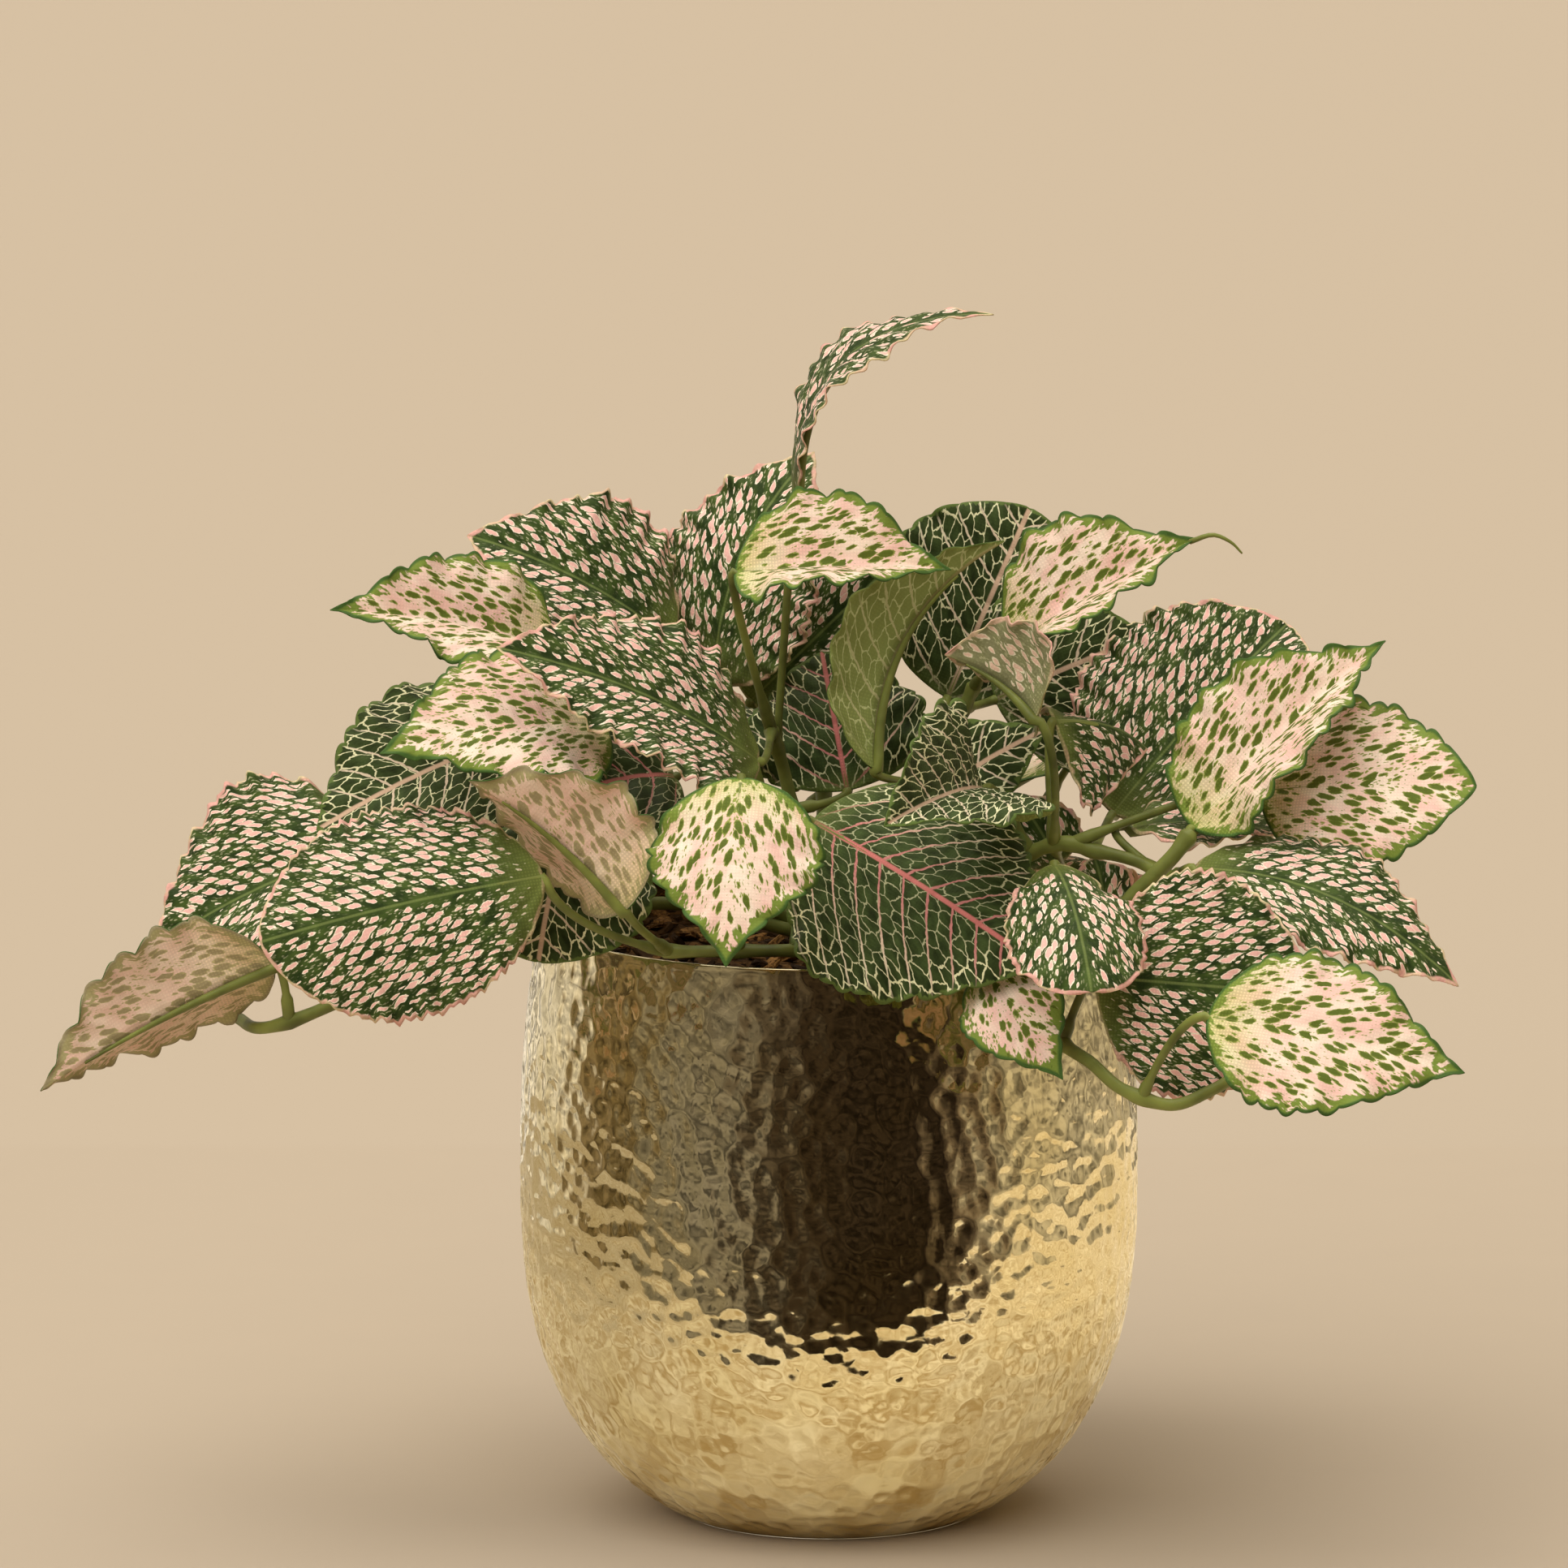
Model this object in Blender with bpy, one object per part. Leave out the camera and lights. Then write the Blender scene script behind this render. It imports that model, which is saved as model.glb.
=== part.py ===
"""An artificial fittonia bush standing in a hammered metal pot.

The pot is a turned, thin-walled shell with a flat foot. Filler packs it to just below the rim.
Twelve moulded stems stand on the filler in a ring and lean out over the rim. Each leaf is a
pressed cloth blade on its own moulded stalk, and each stalk ends on one of the stems.
The origin is the centre of the pot's foot, +Z is up and the display side faces -Y.
"""

import math

import bpy
from mathutils import Vector

MM = 0.001

# Pot, in millimetres: a superellipse profile, fuller above its belly than below it.
POT_HEIGHT = 167.0
BELLY_RADIUS = 86.0
BELLY_HEIGHT = 94.0
LOWER_REACH = 101.0
UPPER_REACH = 150.0
PROFILE_POWER = 2.5
POT_WALL = 1.4
FLOOR_THICKNESS = 2.0
POT_SEGMENTS = 56
PROFILE_STEPS = 12

# Filler and the gap that touching solids keep.
FILLER_TOP = 158.0
GAP = 0.3

# Stems: a ring of twelve, one every 30 degrees, rising from the filler.
STEM_RING_RADIUS = 9.0
STEM_RING_STEP = 30.0
STEM_RISE = 5.0
STEM_POINTS = 22

# Leaves.
BLADE_THICKNESS = 0.9
BASE_POWER = 0.6
CROWNING = 0.15
EDGE_WAVE = 1.2
WAVES_PER_LENGTH = 3.2
STALK_RADIUS = 1.05
STALK_RINGS = 4
BLADE_RINGS = (0.05, 0.2, 0.4, 0.62, 0.82, 0.975)
ACROSS = (-1.0, -0.5, 0.0, 0.5, 1.0)

# name, place in the ring, radius, then the points that the stem passes after it has left the filler
STEMS = [
    ("stem_front", 0, 1.7, [(10, -38, 164), (-3, -62, 169), (-20, -68, 170), (-38, -69, 170), (-45, -68, 170)]),
    ("stem_right_low", 1, 1.7, [(50, -56, 172), (60, -78, 166), (61, -99, 153), (70, -115, 148),
                                (78, -120, 142), (91, -121, 138), (102, -120, 142), (109, -119, 146)]),
    ("stem_right", 2, 1.7, [(34, -30, 178), (59, -52, 196), (72, -54, 195), (83, -58, 193),
                            (92, -60, 189), (103, -60, 185)]),
    ("stem_right_upright", 3, 2.2, [(46, -30, 172), (69, -70, 173), (83, -72, 187), (92, -72, 196),
                                    (97, -70, 202)]),
    ("stem_right_high", 4, 1.8, [(16, 2, 180), (30, 0, 210), (40, -2, 232)]),
    ("stem_rear_right", 5, 1.8, [(20, 24, 174), (42, 30, 190), (60, 34, 192)]),
    ("stem_rear", 6, 1.8, [(-2, 26, 176), (-1, 47, 204), (-2, 50, 220)]),
    ("stem_rear_left", 7, 1.8, [(-20, 22, 170), (-40, 34, 182), (-60, 42, 186)]),
    ("stem_left_high", 8, 1.8, [(-14, 6, 180), (-22, 2, 212), (-34, 6, 238)]),
    ("stem_left", 9, 1.8, [(-26, -14, 182), (-52, -22, 208), (-68, -26, 226), (-72, -24, 240)]),
    ("stem_left_low", 10, 1.7, [(-45, -18, 174), (-88, -34, 170), (-148, -40, 145), (-164, -22, 143),
                                (-175, -12, 146), (-177, -6, 151)]),
    ("stem_centre", 11, 1.8, [(-7, -2, 180), (-12, -2, 206), (-16, -10, 221)]),
]

# Each leaf: its print; the blade's base and tip; its width; which way its upper side looks
# (degrees round from the front, degrees up); how far the midrib arches; the fold along the midrib
# in degrees; where it is widest; its stem, how far along that stem the stalk stands, how far the
# stalk runs on straight behind the blade, and how far it dips. Lengths are millimetres.
LEAVES = [
    ("pale", (-152, -45, 162), (-215, -62, 130), 48, (180, 35), 3, 35, 0.375, "stem_left_low", 0.5, 3, 0),
    ("spotted", (-124, -10, 189), (-186, -18, 161), 66, (0, 45), 6, 15, 0.375, "stem_left_low", 0.4, 3, 0),
    ("spotted", (-77, -92, 195), (-153, -104, 179), 60, (-5, 25), 5, -8, 0.5, "stem_front", 1.0, 3, 14),
    ("netted", (-83, -18, 222), (-140, -45, 199), 56, (-5, 40), 4, 10, 0.375, "stem_left", 0.8, 3, 0),
    ("pale", (-61, -51, 229), (-121, -91, 228), 50, (-5, 45), 6, 12, 0.375, "stem_left", 0.9, 3, 0),
    ("pale", (-74, -21, 245), (-136, -45, 260), 44, (-5, 45), 4, 32, 0.375, "stem_left", 1.0, 8, 0),
    ("spotted", (-43, 13, 242), (-100, 5, 273), 58, (0, 45), 6, 18, 0.375, "stem_left_high", 1.0, 3, 0),
    ("spotted", (-19, -43, 218), (-90, -79, 255), 54, (0, 48), 6, 15, 0.375, "stem_centre", 1.0, 3, 0),
    ("pale", (-55, -90, 185), (-97, -98, 222), 50, (156, 26), 4, 35, 0.375, "stem_front", 0.95, 3, 2),
    ("netted", (-71, -51, 203), (-79, -69, 167), 58, (-10, 20), 4, 10, 0.5, "stem_left", 0.65, 3, 0),
    ("netted", (-42, -32, 212), (-73, -52, 209), 46, (0, 40), 4, 15, 0.375, "stem_left", 0.5, 3, 0),
    ("pale", (-24, -92, 222), (-28, -124, 176), 47, (-5, 35), 6, -10, 0.375, "stem_front", 0.65, 3, 0),
    ("netted", (-5, -62, 205), (57, -105, 172), 70, (-5, 32), 4, -8, 0.375, "stem_front", 0.45, 3, 0),
    ("netted", (42, -66, 214), (14, -124, 214), 54, (59, 45), 6, 42, 0.375, "stem_right", 0.3, 12, -5),
    ("netted", (12, -22, 212), (48, -12, 274), 40, (-130, 15), 13, 45, 0.375, "stem_right_high", 0.6, 3, 0),
    ("spotted", (-10, -10, 284), (45, -15, 337), 34, (-78, 35), 20, 10, 0.375, "stem_centre", 0.88, 3, 0),
    ("spotted", (-32, 22, 229), (-4, 29, 293), 54, (-35, 10), 13, 5, 0.375, "stem_left_high", 0.95, 3, 0),
    ("pale", (-26, -35, 269), (33, -45, 271), 46, (0, 50), 2, 42, 0.375, "stem_centre", 1.0, 3, 0),
    ("spotted", (-22, 39, 221), (19, 41, 261), 54, (10, 20), 2, 10, 0.375, "stem_rear", 1.0, 3, 0),
    ("netted", (33, 27, 224), (56, 37, 276), 62, (0, 15), 4, 10, 0.5, "stem_right_high", 0.8, 3, 0),
    ("pale", (48, -30, 247), (100, -40, 279), 50, (-10, 50), 2, 40, 0.375, "stem_right_high", 1.0, 3, 0),
    ("netted", (46, 18, 225), (88, 10, 244), 54, (0, 20), 3, 0, 0.375, "stem_right_high", 0.9, 3, 0),
    ("spotted", (56, -74, 235), (31, -60, 250), 44, (170, 40), 3, 40, 0.375, "stem_right", 0.35, 12, 0),
    ("spotted", (61, -48, 230), (87, -30, 219), 46, (-10, 50), 4, -35, 0.375, "stem_right", 0.35, 3, 0),
    ("spotted", (78, -17, 199), (127, 13, 247), 70, (-25, 22), 3, 20, 0.48, "stem_right", 0.5, 3, 0),
    ("pale", (98, -63, 203), (151, -48, 252), 50, (-25, 40), 3, 38, 0.375, "stem_right_upright", 1.0, 3, 0),
    ("pale", (117, -50, 211), (175, -67, 215), 50, (5, 33), 3, 8, 0.42, "stem_right", 0.4, 3, -5),
    ("spotted", (82, -49, 201), (129, -47, 197), 34, (0, 79), 3, 10, 0.375, "stem_right", 0.8, 12, -3),
    ("spotted", (98, -74, 194), (169, -94, 165), 42, (5, 55), 12, 5, 0.375, "stem_right", 0.85, 3, 0),
    ("spotted", (71, -106, 170), (129, -111, 166), 62, (0, 12), 3, 5, 0.45, "stem_right_low", 0.4, 3, 0),
    ("pale", (100, -131, 164), (168, -143, 151), 46, (5, 32), 4, 8, 0.375, "stem_right_low", 0.68, 8, 0),
    ("spotted", (60, -96, 199), (69, -139, 172), 38, (10, 20), 6, -10, 0.6, "stem_right_upright", 0.5, 3, 0),
    ("spotted", (63, -35, 188), (51, -33, 207), 22, (0, 20), 3, 10, 0.375, "stem_right", 0.35, 3, 0),
    ("pale", (42, -87, 169), (62, -122, 145), 30, (-5, 15), 4, 10, 0.375, "stem_right_low", 0.25, 3, 0),
    ("netted", (5, 3, 202), (-2, 28, 237), 52, (0, 10), 3, 15, 0.375, "stem_centre", 0.55, 3, 0),
    ("spotted", (75, -45, 177), (72, -40, 191), 20, (20, 20), 2, 10, 0.375, "stem_right_upright", 0.3, 3, 0),
    ("netted", (22, -32, 201), (59, -44, 227), 30, (0, 35), 4, 8, 0.375, "stem_right", 0.2, 3, 0),
    ("spotted", (-48, 22, 196), (-112, 60, 212), 56, (-150, 55), 5, 10, 0.375, "stem_rear_left", 0.75, 3, 0),
    ("pale", (-28, 39, 205), (-70, 95, 226), 50, (-160, 50), 5, 12, 0.375, "stem_rear_left", 0.65, 3, 0),
    ("netted", (-9, 52, 196), (-14, 122, 206), 58, (180, 45), 6, 8, 0.375, "stem_rear", 0.6, 3, 0),
    ("pale", (48, 44, 196), (102, 88, 200), 50, (150, 55), 5, 12, 0.375, "stem_rear_right", 0.8, 3, 0),
    ("netted", (74, 21, 216), (134, 49, 226), 54, (130, 60), 5, 8, 0.375, "stem_rear_right", 1.0, 3, 0),
    ("pale", (-64, 35, 176), (-112, 88, 168), 50, (-150, 40), 5, -6, 0.375, "stem_rear_left", 1.0, 3, 0),
    ("spotted", (-16, 60, 182), (-34, 126, 168), 60, (180, 35), 6, -6, 0.375, "stem_rear", 0.55, 3, 0),
    ("spotted", (48, 56, 176), (88, 108, 150), 56, (150, 40), 5, -6, 0.375, "stem_rear_right", 0.85, 3, 0),
    ("netted", (-6, 40, 232), (-2, 101, 262), 52, (180, 40), 5, 12, 0.375, "stem_rear", 0.85, 3, 0),
]


def clear_scene():
    for thing in list(bpy.data.objects):
        bpy.data.objects.remove(thing)


def make_material(name, colour, roughness, metallic=0.0):
    material = bpy.data.materials.new(name)
    material.use_nodes = True
    shader = material.node_tree.nodes["Principled BSDF"]
    shader.inputs["Base Color"].default_value = (*colour, 1.0)
    shader.inputs["Roughness"].default_value = roughness
    shader.inputs["Metallic"].default_value = metallic
    return material


def add_object(name, data, material):
    made = bpy.data.objects.new(name, data)
    data.materials.append(material)
    bpy.context.scene.collection.objects.link(made)
    return made


def solid_from_rings(name, rings, material):
    """A closed solid through rings that all have the same number of points, with a flat face at each end."""
    count = len(rings[0])
    points = [point * MM for ring in rings for point in ring]
    faces = [tuple(reversed(range(count)))]
    for row in range(len(rings) - 1):
        for k in range(count):
            after = (k + 1) % count
            here, there = row * count, (row + 1) * count
            faces.append((here + k, here + after, there + after, there + k))
    last = (len(rings) - 1) * count
    faces.append(tuple(range(last, last + count)))
    mesh = bpy.data.meshes.new(name)
    mesh.from_pydata(points, [], faces)
    mesh.shade_smooth()
    mesh.set_sharp_from_angle(angle=math.radians(50))
    return add_object(name, mesh, material)


# ---------------------------------------------------------------- pot and filler


def pot_radius(height):
    reach = LOWER_REACH if height < BELLY_HEIGHT else UPPER_REACH
    share = abs(height - BELLY_HEIGHT) / reach
    return BELLY_RADIUS * (1 - share**PROFILE_POWER) ** (1 / PROFILE_POWER)


def heights(low, high, steps):
    return [low + (high - low) * k / steps for k in range(steps + 1)]


def turned(name, profile, material):
    """Screws a closed profile of (radius, height) round Z. It runs down its outer side, top to bottom."""
    mesh = bpy.data.meshes.new(name)
    points = [(radius * MM, 0.0, height * MM) for radius, height in profile]
    mesh.from_pydata(points, [(k, k + 1) for k in range(len(points) - 1)], [])
    made = add_object(name, mesh, material)
    screw = made.modifiers.new("Turn", "SCREW")
    screw.steps = POT_SEGMENTS
    screw.render_steps = POT_SEGMENTS
    screw.use_merge_vertices = True
    screw.merge_threshold = 0.00001
    screw.use_smooth_shade = True
    return made


def build_pot(material):
    outer = [(pot_radius(z), z) for z in heights(POT_HEIGHT, 0.0, PROFILE_STEPS)]
    inner = [(pot_radius(z) - POT_WALL, z) for z in heights(FLOOR_THICKNESS, POT_HEIGHT, PROFILE_STEPS)]
    profile = outer + [(0.0, 0.0), (0.0, FLOOR_THICKNESS)] + inner + [outer[0]]
    return turned("pot", profile, material)


def build_filler(material):
    low = FLOOR_THICKNESS + GAP
    inset = POT_WALL + GAP + 0.3
    side = [(pot_radius(z) - inset, z) for z in heights(FILLER_TOP, low, PROFILE_STEPS)]
    profile = [(0.0, FILLER_TOP)] + side + [(0.0, low)]
    return turned("filler", profile, material)


# ---------------------------------------------------------------- stems


def smooth_line(points, count):
    """Points along the Catmull-Rom curve through the given points."""
    chain = [points[0] * 2 - points[1]] + points + [points[-1] * 2 - points[-2]]
    spans = len(points) - 1
    line = []
    for k in range(count):
        at = k / (count - 1) * spans
        span = min(int(at), spans - 1)
        f = at - span
        a, b, c, d = chain[span : span + 4]
        bend = (a * 2 - b * 5 + c * 4 - d) * f**2 + (b * 3 - a - c * 3 + d) * f**3
        line.append((b * 2 + (c - a) * f + bend) * 0.5)
    return line


def stem_line(place, passed, count):
    """The foot of a stem on the filler, then its line from just above the filler to its end."""
    turn = math.radians(place * STEM_RING_STEP)
    foot = Vector((math.sin(turn), -math.cos(turn), 0.0)) * STEM_RING_RADIUS
    foot.z = FILLER_TOP + GAP
    risen = foot + Vector((0.0, 0.0, STEM_RISE))
    return [foot] + smooth_line([risen] + [Vector(point) for point in passed], count)


def build_stem(name, line, radius, material):
    curve = bpy.data.curves.new(name, "CURVE")
    curve.dimensions = "3D"
    curve.bevel_depth = radius * MM
    curve.bevel_resolution = 1
    curve.use_fill_caps = True
    spline = curve.splines.new("POLY")
    spline.points.add(len(line) - 1)
    for knot, point in zip(spline.points, line):
        knot.co = (*(point * MM), 1.0)
    return add_object(name, curve, material)


# ---------------------------------------------------------------- leaves


def square_to(vector, direction):
    """The part of a vector that is square to a unit direction, made one long."""
    return (vector - direction * vector.dot(direction)).normalized()


def looking(azimuth, elevation):
    a, e = math.radians(azimuth), math.radians(elevation)
    return Vector((math.sin(a) * math.cos(e), -math.cos(a) * math.cos(e), math.sin(e)))


def blade_outline(share, widest):
    """Half-width at a share of the blade's length, as a part of its greatest half-width."""
    tip_power = BASE_POWER * (1 - widest) / widest
    most = widest**BASE_POWER * (1 - widest) ** tip_power
    return share**BASE_POWER * (1 - share) ** tip_power / most


def blade_ring(share, base, bow, tip, up, width, fold, widest):
    """The closed ring of points round the blade at one share of its length."""
    middle = base * (1 - share) ** 2 + bow * (2 * share * (1 - share)) + tip * share**2
    along = ((bow - base) * (1 - share) + (tip - bow) * share).normalized()
    normal = square_to(up, along)
    side = along.cross(normal)
    half = width / 2 * blade_outline(share, widest)
    angle = math.radians(fold) * min(1.0, 3 * share + 0.3)
    surface = []
    for across in ACROSS:
        phase = WAVES_PER_LENGTH * share + (0.35 if across > 0 else 0.0)
        wave = math.sin(2 * math.pi * phase + width) * min(1.0, 4 * share) * (1 - share)
        rise = half * (abs(across) * math.sin(angle) - CROWNING * across**2)
        rise += EDGE_WAVE * abs(across) ** 1.5 * wave
        surface.append(middle + side * (half * across * math.cos(angle)) + normal * rise)
    thick = normal * (BLADE_THICKNESS / 2)
    return [p + thick for p in surface] + [p - thick for p in reversed(surface)]


def stalk_ring(middle, along, normal):
    side = along.cross(normal)
    top, under = [], []
    for across in ACROSS:
        out = middle + side * (STALK_RADIUS * across)
        lift = normal * (STALK_RADIUS * (1 - 0.6 * across**2))
        top.append(out + lift)
        under.append(out - lift)
    return top + under[::-1]


def clear_of_stem(direction, stem_along, stem_radius, at_end):
    """How far from the stem's centre line a stalk starts, so that its end face clears the stem."""
    cos = abs(direction.dot(stem_along))
    sin = math.sqrt(max(0.0, 1 - cos**2))
    beside = (stem_radius + GAP + STALK_RADIUS * cos) / max(sin, 0.3)
    if at_end and direction.dot(stem_along) > 0.5:
        return min(beside, (GAP + STALK_RADIUS * sin) / cos)
    return beside


def build_leaf(name, leaf, stem_lines, material):
    base, tip = Vector(leaf[1]), Vector(leaf[2])
    width, facing, arch, fold, widest, stem, share, lead_out, dip = leaf[3:]
    up = square_to(looking(*facing), (tip - base).normalized())
    bow = (base + tip) / 2 + up * (2 * arch)

    line, stem_radius = stem_lines[stem]
    at = min(round(share * (len(line) - 1)), len(line) - 2)
    stem_along = (line[at + 1] - line[at]).normalized()
    foot = line[round(share * (len(line) - 1))]
    bend = base - (bow - base).normalized() * lead_out - Vector((0, 0, dip))

    def stalk_point(f):
        return foot * (1 - f) ** 2 + bend * (2 * f * (1 - f)) + base * f**2

    off = clear_of_stem((bend - foot).normalized(), stem_along, stem_radius, share == 1.0)
    start = 0.0
    while (stalk_point(start) - foot).length < off and start < 0.8:
        start += 0.01

    blade = [blade_ring(s, base, bow, tip, up, width, fold, widest) for s in BLADE_RINGS]
    normal = square_to(up, (bow - base).normalized())
    stalk = []
    for k in reversed(range(STALK_RINGS)):
        f = start + (0.96 - start) * k / (STALK_RINGS - 1)
        along = ((bend - foot) * (1 - f) + (base - bend) * f).normalized()
        normal = square_to(normal, along)
        stalk.insert(0, stalk_ring(stalk_point(f), along, normal))
    return solid_from_rings(name, stalk + blade, material)


# ---------------------------------------------------------------- assembly

clear_scene()

build_pot(make_material("hammered_metal", (0.55, 0.42, 0.22), 0.18, 1.0))
build_filler(make_material("bark_filler", (0.06, 0.035, 0.02), 0.9))

stem_plastic = make_material("stem_plastic", (0.16, 0.19, 0.05), 0.45)
stem_lines = {}
for stem_name, ring_place, stem_radius, passed_points in STEMS:
    # The stalks find their places on a finer line than the tube's own.
    stem_lines[stem_name] = (stem_line(ring_place, passed_points, 81)[1:], stem_radius)
    build_stem(stem_name, stem_line(ring_place, passed_points, STEM_POINTS), stem_radius, stem_plastic)

leaf_cloths = {
    "spotted": make_material("spotted_cloth", (0.03, 0.08, 0.02), 0.6),
    "pale": make_material("pale_cloth", (0.75, 0.55, 0.5), 0.6),
    "netted": make_material("netted_cloth", (0.02, 0.045, 0.015), 0.6),
}
leaves_made = dict.fromkeys(leaf_cloths, 0)
for leaf_row in LEAVES:
    leaf_print = leaf_row[0]
    leaves_made[leaf_print] += 1
    leaf_name = f"{leaf_print}_leaf_{leaves_made[leaf_print]:02d}"
    build_leaf(leaf_name, leaf_row, stem_lines, leaf_cloths[leaf_print])
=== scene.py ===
"""An artificial fittonia bush in a hammered, gold-coloured pot.

The pot is packed with bark to just below its rim. Twelve moulded stems rise from the bark, and
each carries printed cloth leaves on short moulded stalks.
"""

import math

import bpy
import numpy as np
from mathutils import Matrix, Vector, noise


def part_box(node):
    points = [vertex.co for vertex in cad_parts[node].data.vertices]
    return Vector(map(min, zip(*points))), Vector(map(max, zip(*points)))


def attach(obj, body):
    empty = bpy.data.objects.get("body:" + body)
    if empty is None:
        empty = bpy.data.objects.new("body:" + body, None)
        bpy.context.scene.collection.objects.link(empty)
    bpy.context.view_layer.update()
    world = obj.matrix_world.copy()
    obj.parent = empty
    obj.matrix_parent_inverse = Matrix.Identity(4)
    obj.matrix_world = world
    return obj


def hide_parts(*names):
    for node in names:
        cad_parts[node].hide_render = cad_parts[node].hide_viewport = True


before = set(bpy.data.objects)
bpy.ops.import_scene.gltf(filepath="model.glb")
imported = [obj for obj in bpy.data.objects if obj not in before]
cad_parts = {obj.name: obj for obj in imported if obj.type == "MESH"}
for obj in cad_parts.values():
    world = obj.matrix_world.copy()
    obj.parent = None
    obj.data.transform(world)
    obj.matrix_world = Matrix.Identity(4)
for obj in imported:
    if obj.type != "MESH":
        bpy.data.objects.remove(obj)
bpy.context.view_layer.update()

MM = 0.001


# ------------------------------------------------------------------ the pot
# A thin metal pot, spun round from sheet and beaten all over with a round-faced hammer, row by
# row, then plated a pale gold and polished. The rim is cut straight and left plain.

BELLY_RADIUS = 86.0
BELLY_HEIGHT = 94.0
LOWER_REACH = 101.0
UPPER_REACH = 150.0
PROFILE_POWER = 2.5
POT_WALL = 1.4
RIM_ROUNDING = 0.5
HAMMER_MARK = 6.8
HAMMER_ROW_GAP = 0.86
MARK_DEPTH = 0.55
MARK_SCATTER = 0.42
POT_STEPS_ROUND = 400
PROFILE_STEP = 1.35
PROFILE_SAMPLES = 3000
SLOPE_STEP = 0.2
FOOT_FLAT = 40.0
FOOT_RINGS = 14
INNER_FLOOR = 2.0
INSIDE_RINGS = 26
RIM_STEPS = 6
POT_WELD = 0.00002

low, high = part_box("pot")
pot_height = (high.z - low.z) / MM


def pot_radius(height):
    reach = LOWER_REACH if height < BELLY_HEIGHT else UPPER_REACH
    share = min(abs(height - BELLY_HEIGHT) / reach, 1.0)
    return BELLY_RADIUS * (1 - share**PROFILE_POWER) ** (1 / PROFILE_POWER)


def linear(colour):
    """An sRGB hex colour as the linear numbers that a shader takes."""
    parts = [int(colour[k : k + 2], 16) / 255 for k in (1, 3, 5)]
    return (*[p / 12.92 if p <= 0.04045 else ((p + 0.055) / 1.055) ** 2.4 for p in parts], 1.0)


def add(tree, kind, inputs=None, output=0, **settings):
    """Adds a shader node with its settings, sets or links its inputs, and returns one output."""
    node = tree.nodes.new("ShaderNode" + kind)
    for name, value in settings.items():
        setattr(node, name, value)
    for key, value in (inputs or {}).items():
        if isinstance(value, bpy.types.NodeSocket):
            tree.links.new(value, node.inputs[key])
        else:
            node.inputs[key].default_value = value
    return node.outputs[output]


def new_material(name, **constants):
    """A material with one Principled shader, and its node tree."""
    material = bpy.data.materials.new(name)
    material.use_nodes = True
    shader = material.node_tree.nodes["Principled BSDF"]
    for key, value in constants.items():
        shader.inputs[key.replace("_", " ")].default_value = value
    return material, material.node_tree, shader


def deselect():
    if bpy.context.object and bpy.context.object.mode != "OBJECT":
        bpy.ops.object.mode_set(mode="OBJECT")
    bpy.ops.object.select_all(action="DESELECT")


def points_of(mesh):
    points = np.empty(len(mesh.vertices) * 3)
    mesh.vertices.foreach_get("co", points)
    return points.reshape(-1, 3)


def set_points(mesh, points):
    mesh.vertices.foreach_set("co", np.ascontiguousarray(points, dtype=np.float32).ravel())
    mesh.update()


# The profile runs up the outside in even steps, over the rim and down the inside to the floor.
heights = [0.0]
while heights[-1] < pot_height - 0.01:
    z = heights[-1]
    slope = (pot_radius(z + SLOPE_STEP) - pot_radius(z)) / SLOPE_STEP
    heights.append(min(z + PROFILE_STEP / math.hypot(1, slope), pot_height))
outside = [(pot_radius(z), z) for z in heights]
flat = [(FOOT_FLAT * k / FOOT_RINGS, 0.0) for k in range(1, FOOT_RINGS + 1)]
outside = flat + outside[:-1] + [(outside[-1][0], pot_height - RIM_ROUNDING)]
turn_over = []
for k in range(1, RIM_STEPS):
    bend = math.pi * k / RIM_STEPS
    r = outside[-1][0] - POT_WALL / 2 + math.cos(bend) * POT_WALL / 2
    turn_over.append((r, pot_height - RIM_ROUNDING + math.sin(bend) * RIM_ROUNDING))
down = np.linspace(pot_height - RIM_ROUNDING, INNER_FLOOR, INSIDE_RINGS)
inside = [(pot_radius(z) - POT_WALL, z) for z in down]
profile = [(0.0, 0.0)] + outside + turn_over + inside + [(0.0, INNER_FLOOR)]

deselect()
mesh = bpy.data.meshes.new("pot_shell")
links = [(k, k + 1) for k in range(len(profile) - 1)]
mesh.from_pydata([(r * MM, 0, z * MM) for r, z in profile], links, [])
pot = bpy.data.objects.new("pot_shell", mesh)
bpy.context.collection.objects.link(pot)
bpy.context.view_layer.objects.active = pot
pot.select_set(True)
bpy.ops.object.mode_set(mode="EDIT")
bpy.ops.mesh.select_all(action="SELECT")
bpy.ops.mesh.spin(
    steps=POT_STEPS_ROUND, angle=2 * math.pi, center=(0, 0, 0), axis=(0, 0, 1), use_auto_merge=False
)
bpy.ops.mesh.select_all(action="SELECT")
bpy.ops.mesh.remove_doubles(threshold=POT_WELD)
bpy.ops.mesh.normals_make_consistent(inside=False)
bpy.ops.object.mode_set(mode="OBJECT")

# Each hammer blow leaves a shallow bowl, and bowls meet in soft ridges: every point sinks towards
# the middle of the blow nearest to it. The blows run round in rows, a little out of line.
points = points_of(pot.data)
radius = np.hypot(points[:, 0], points[:, 1]) / MM
height = points[:, 2] / MM
fine = np.linspace(0, pot_height, PROFILE_SAMPLES)
fine_radius = np.array([pot_radius(z) for z in fine])
fine_run = np.concatenate([[0], np.cumsum(np.hypot(np.diff(fine), np.diff(fine_radius)))])
outer = (np.abs(radius - np.interp(height, fine, fine_radius)) < 0.4) & (height > 0.3)
outer &= height < pot_height - RIM_ROUNDING * 0.5
run = np.interp(height, fine, fine_run)
turn = np.arctan2(points[:, 1], points[:, 0])
scatter = np.random.default_rng(11)
nearest = np.full(len(points), 1e9)
second = np.full(len(points), 1e9)
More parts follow.
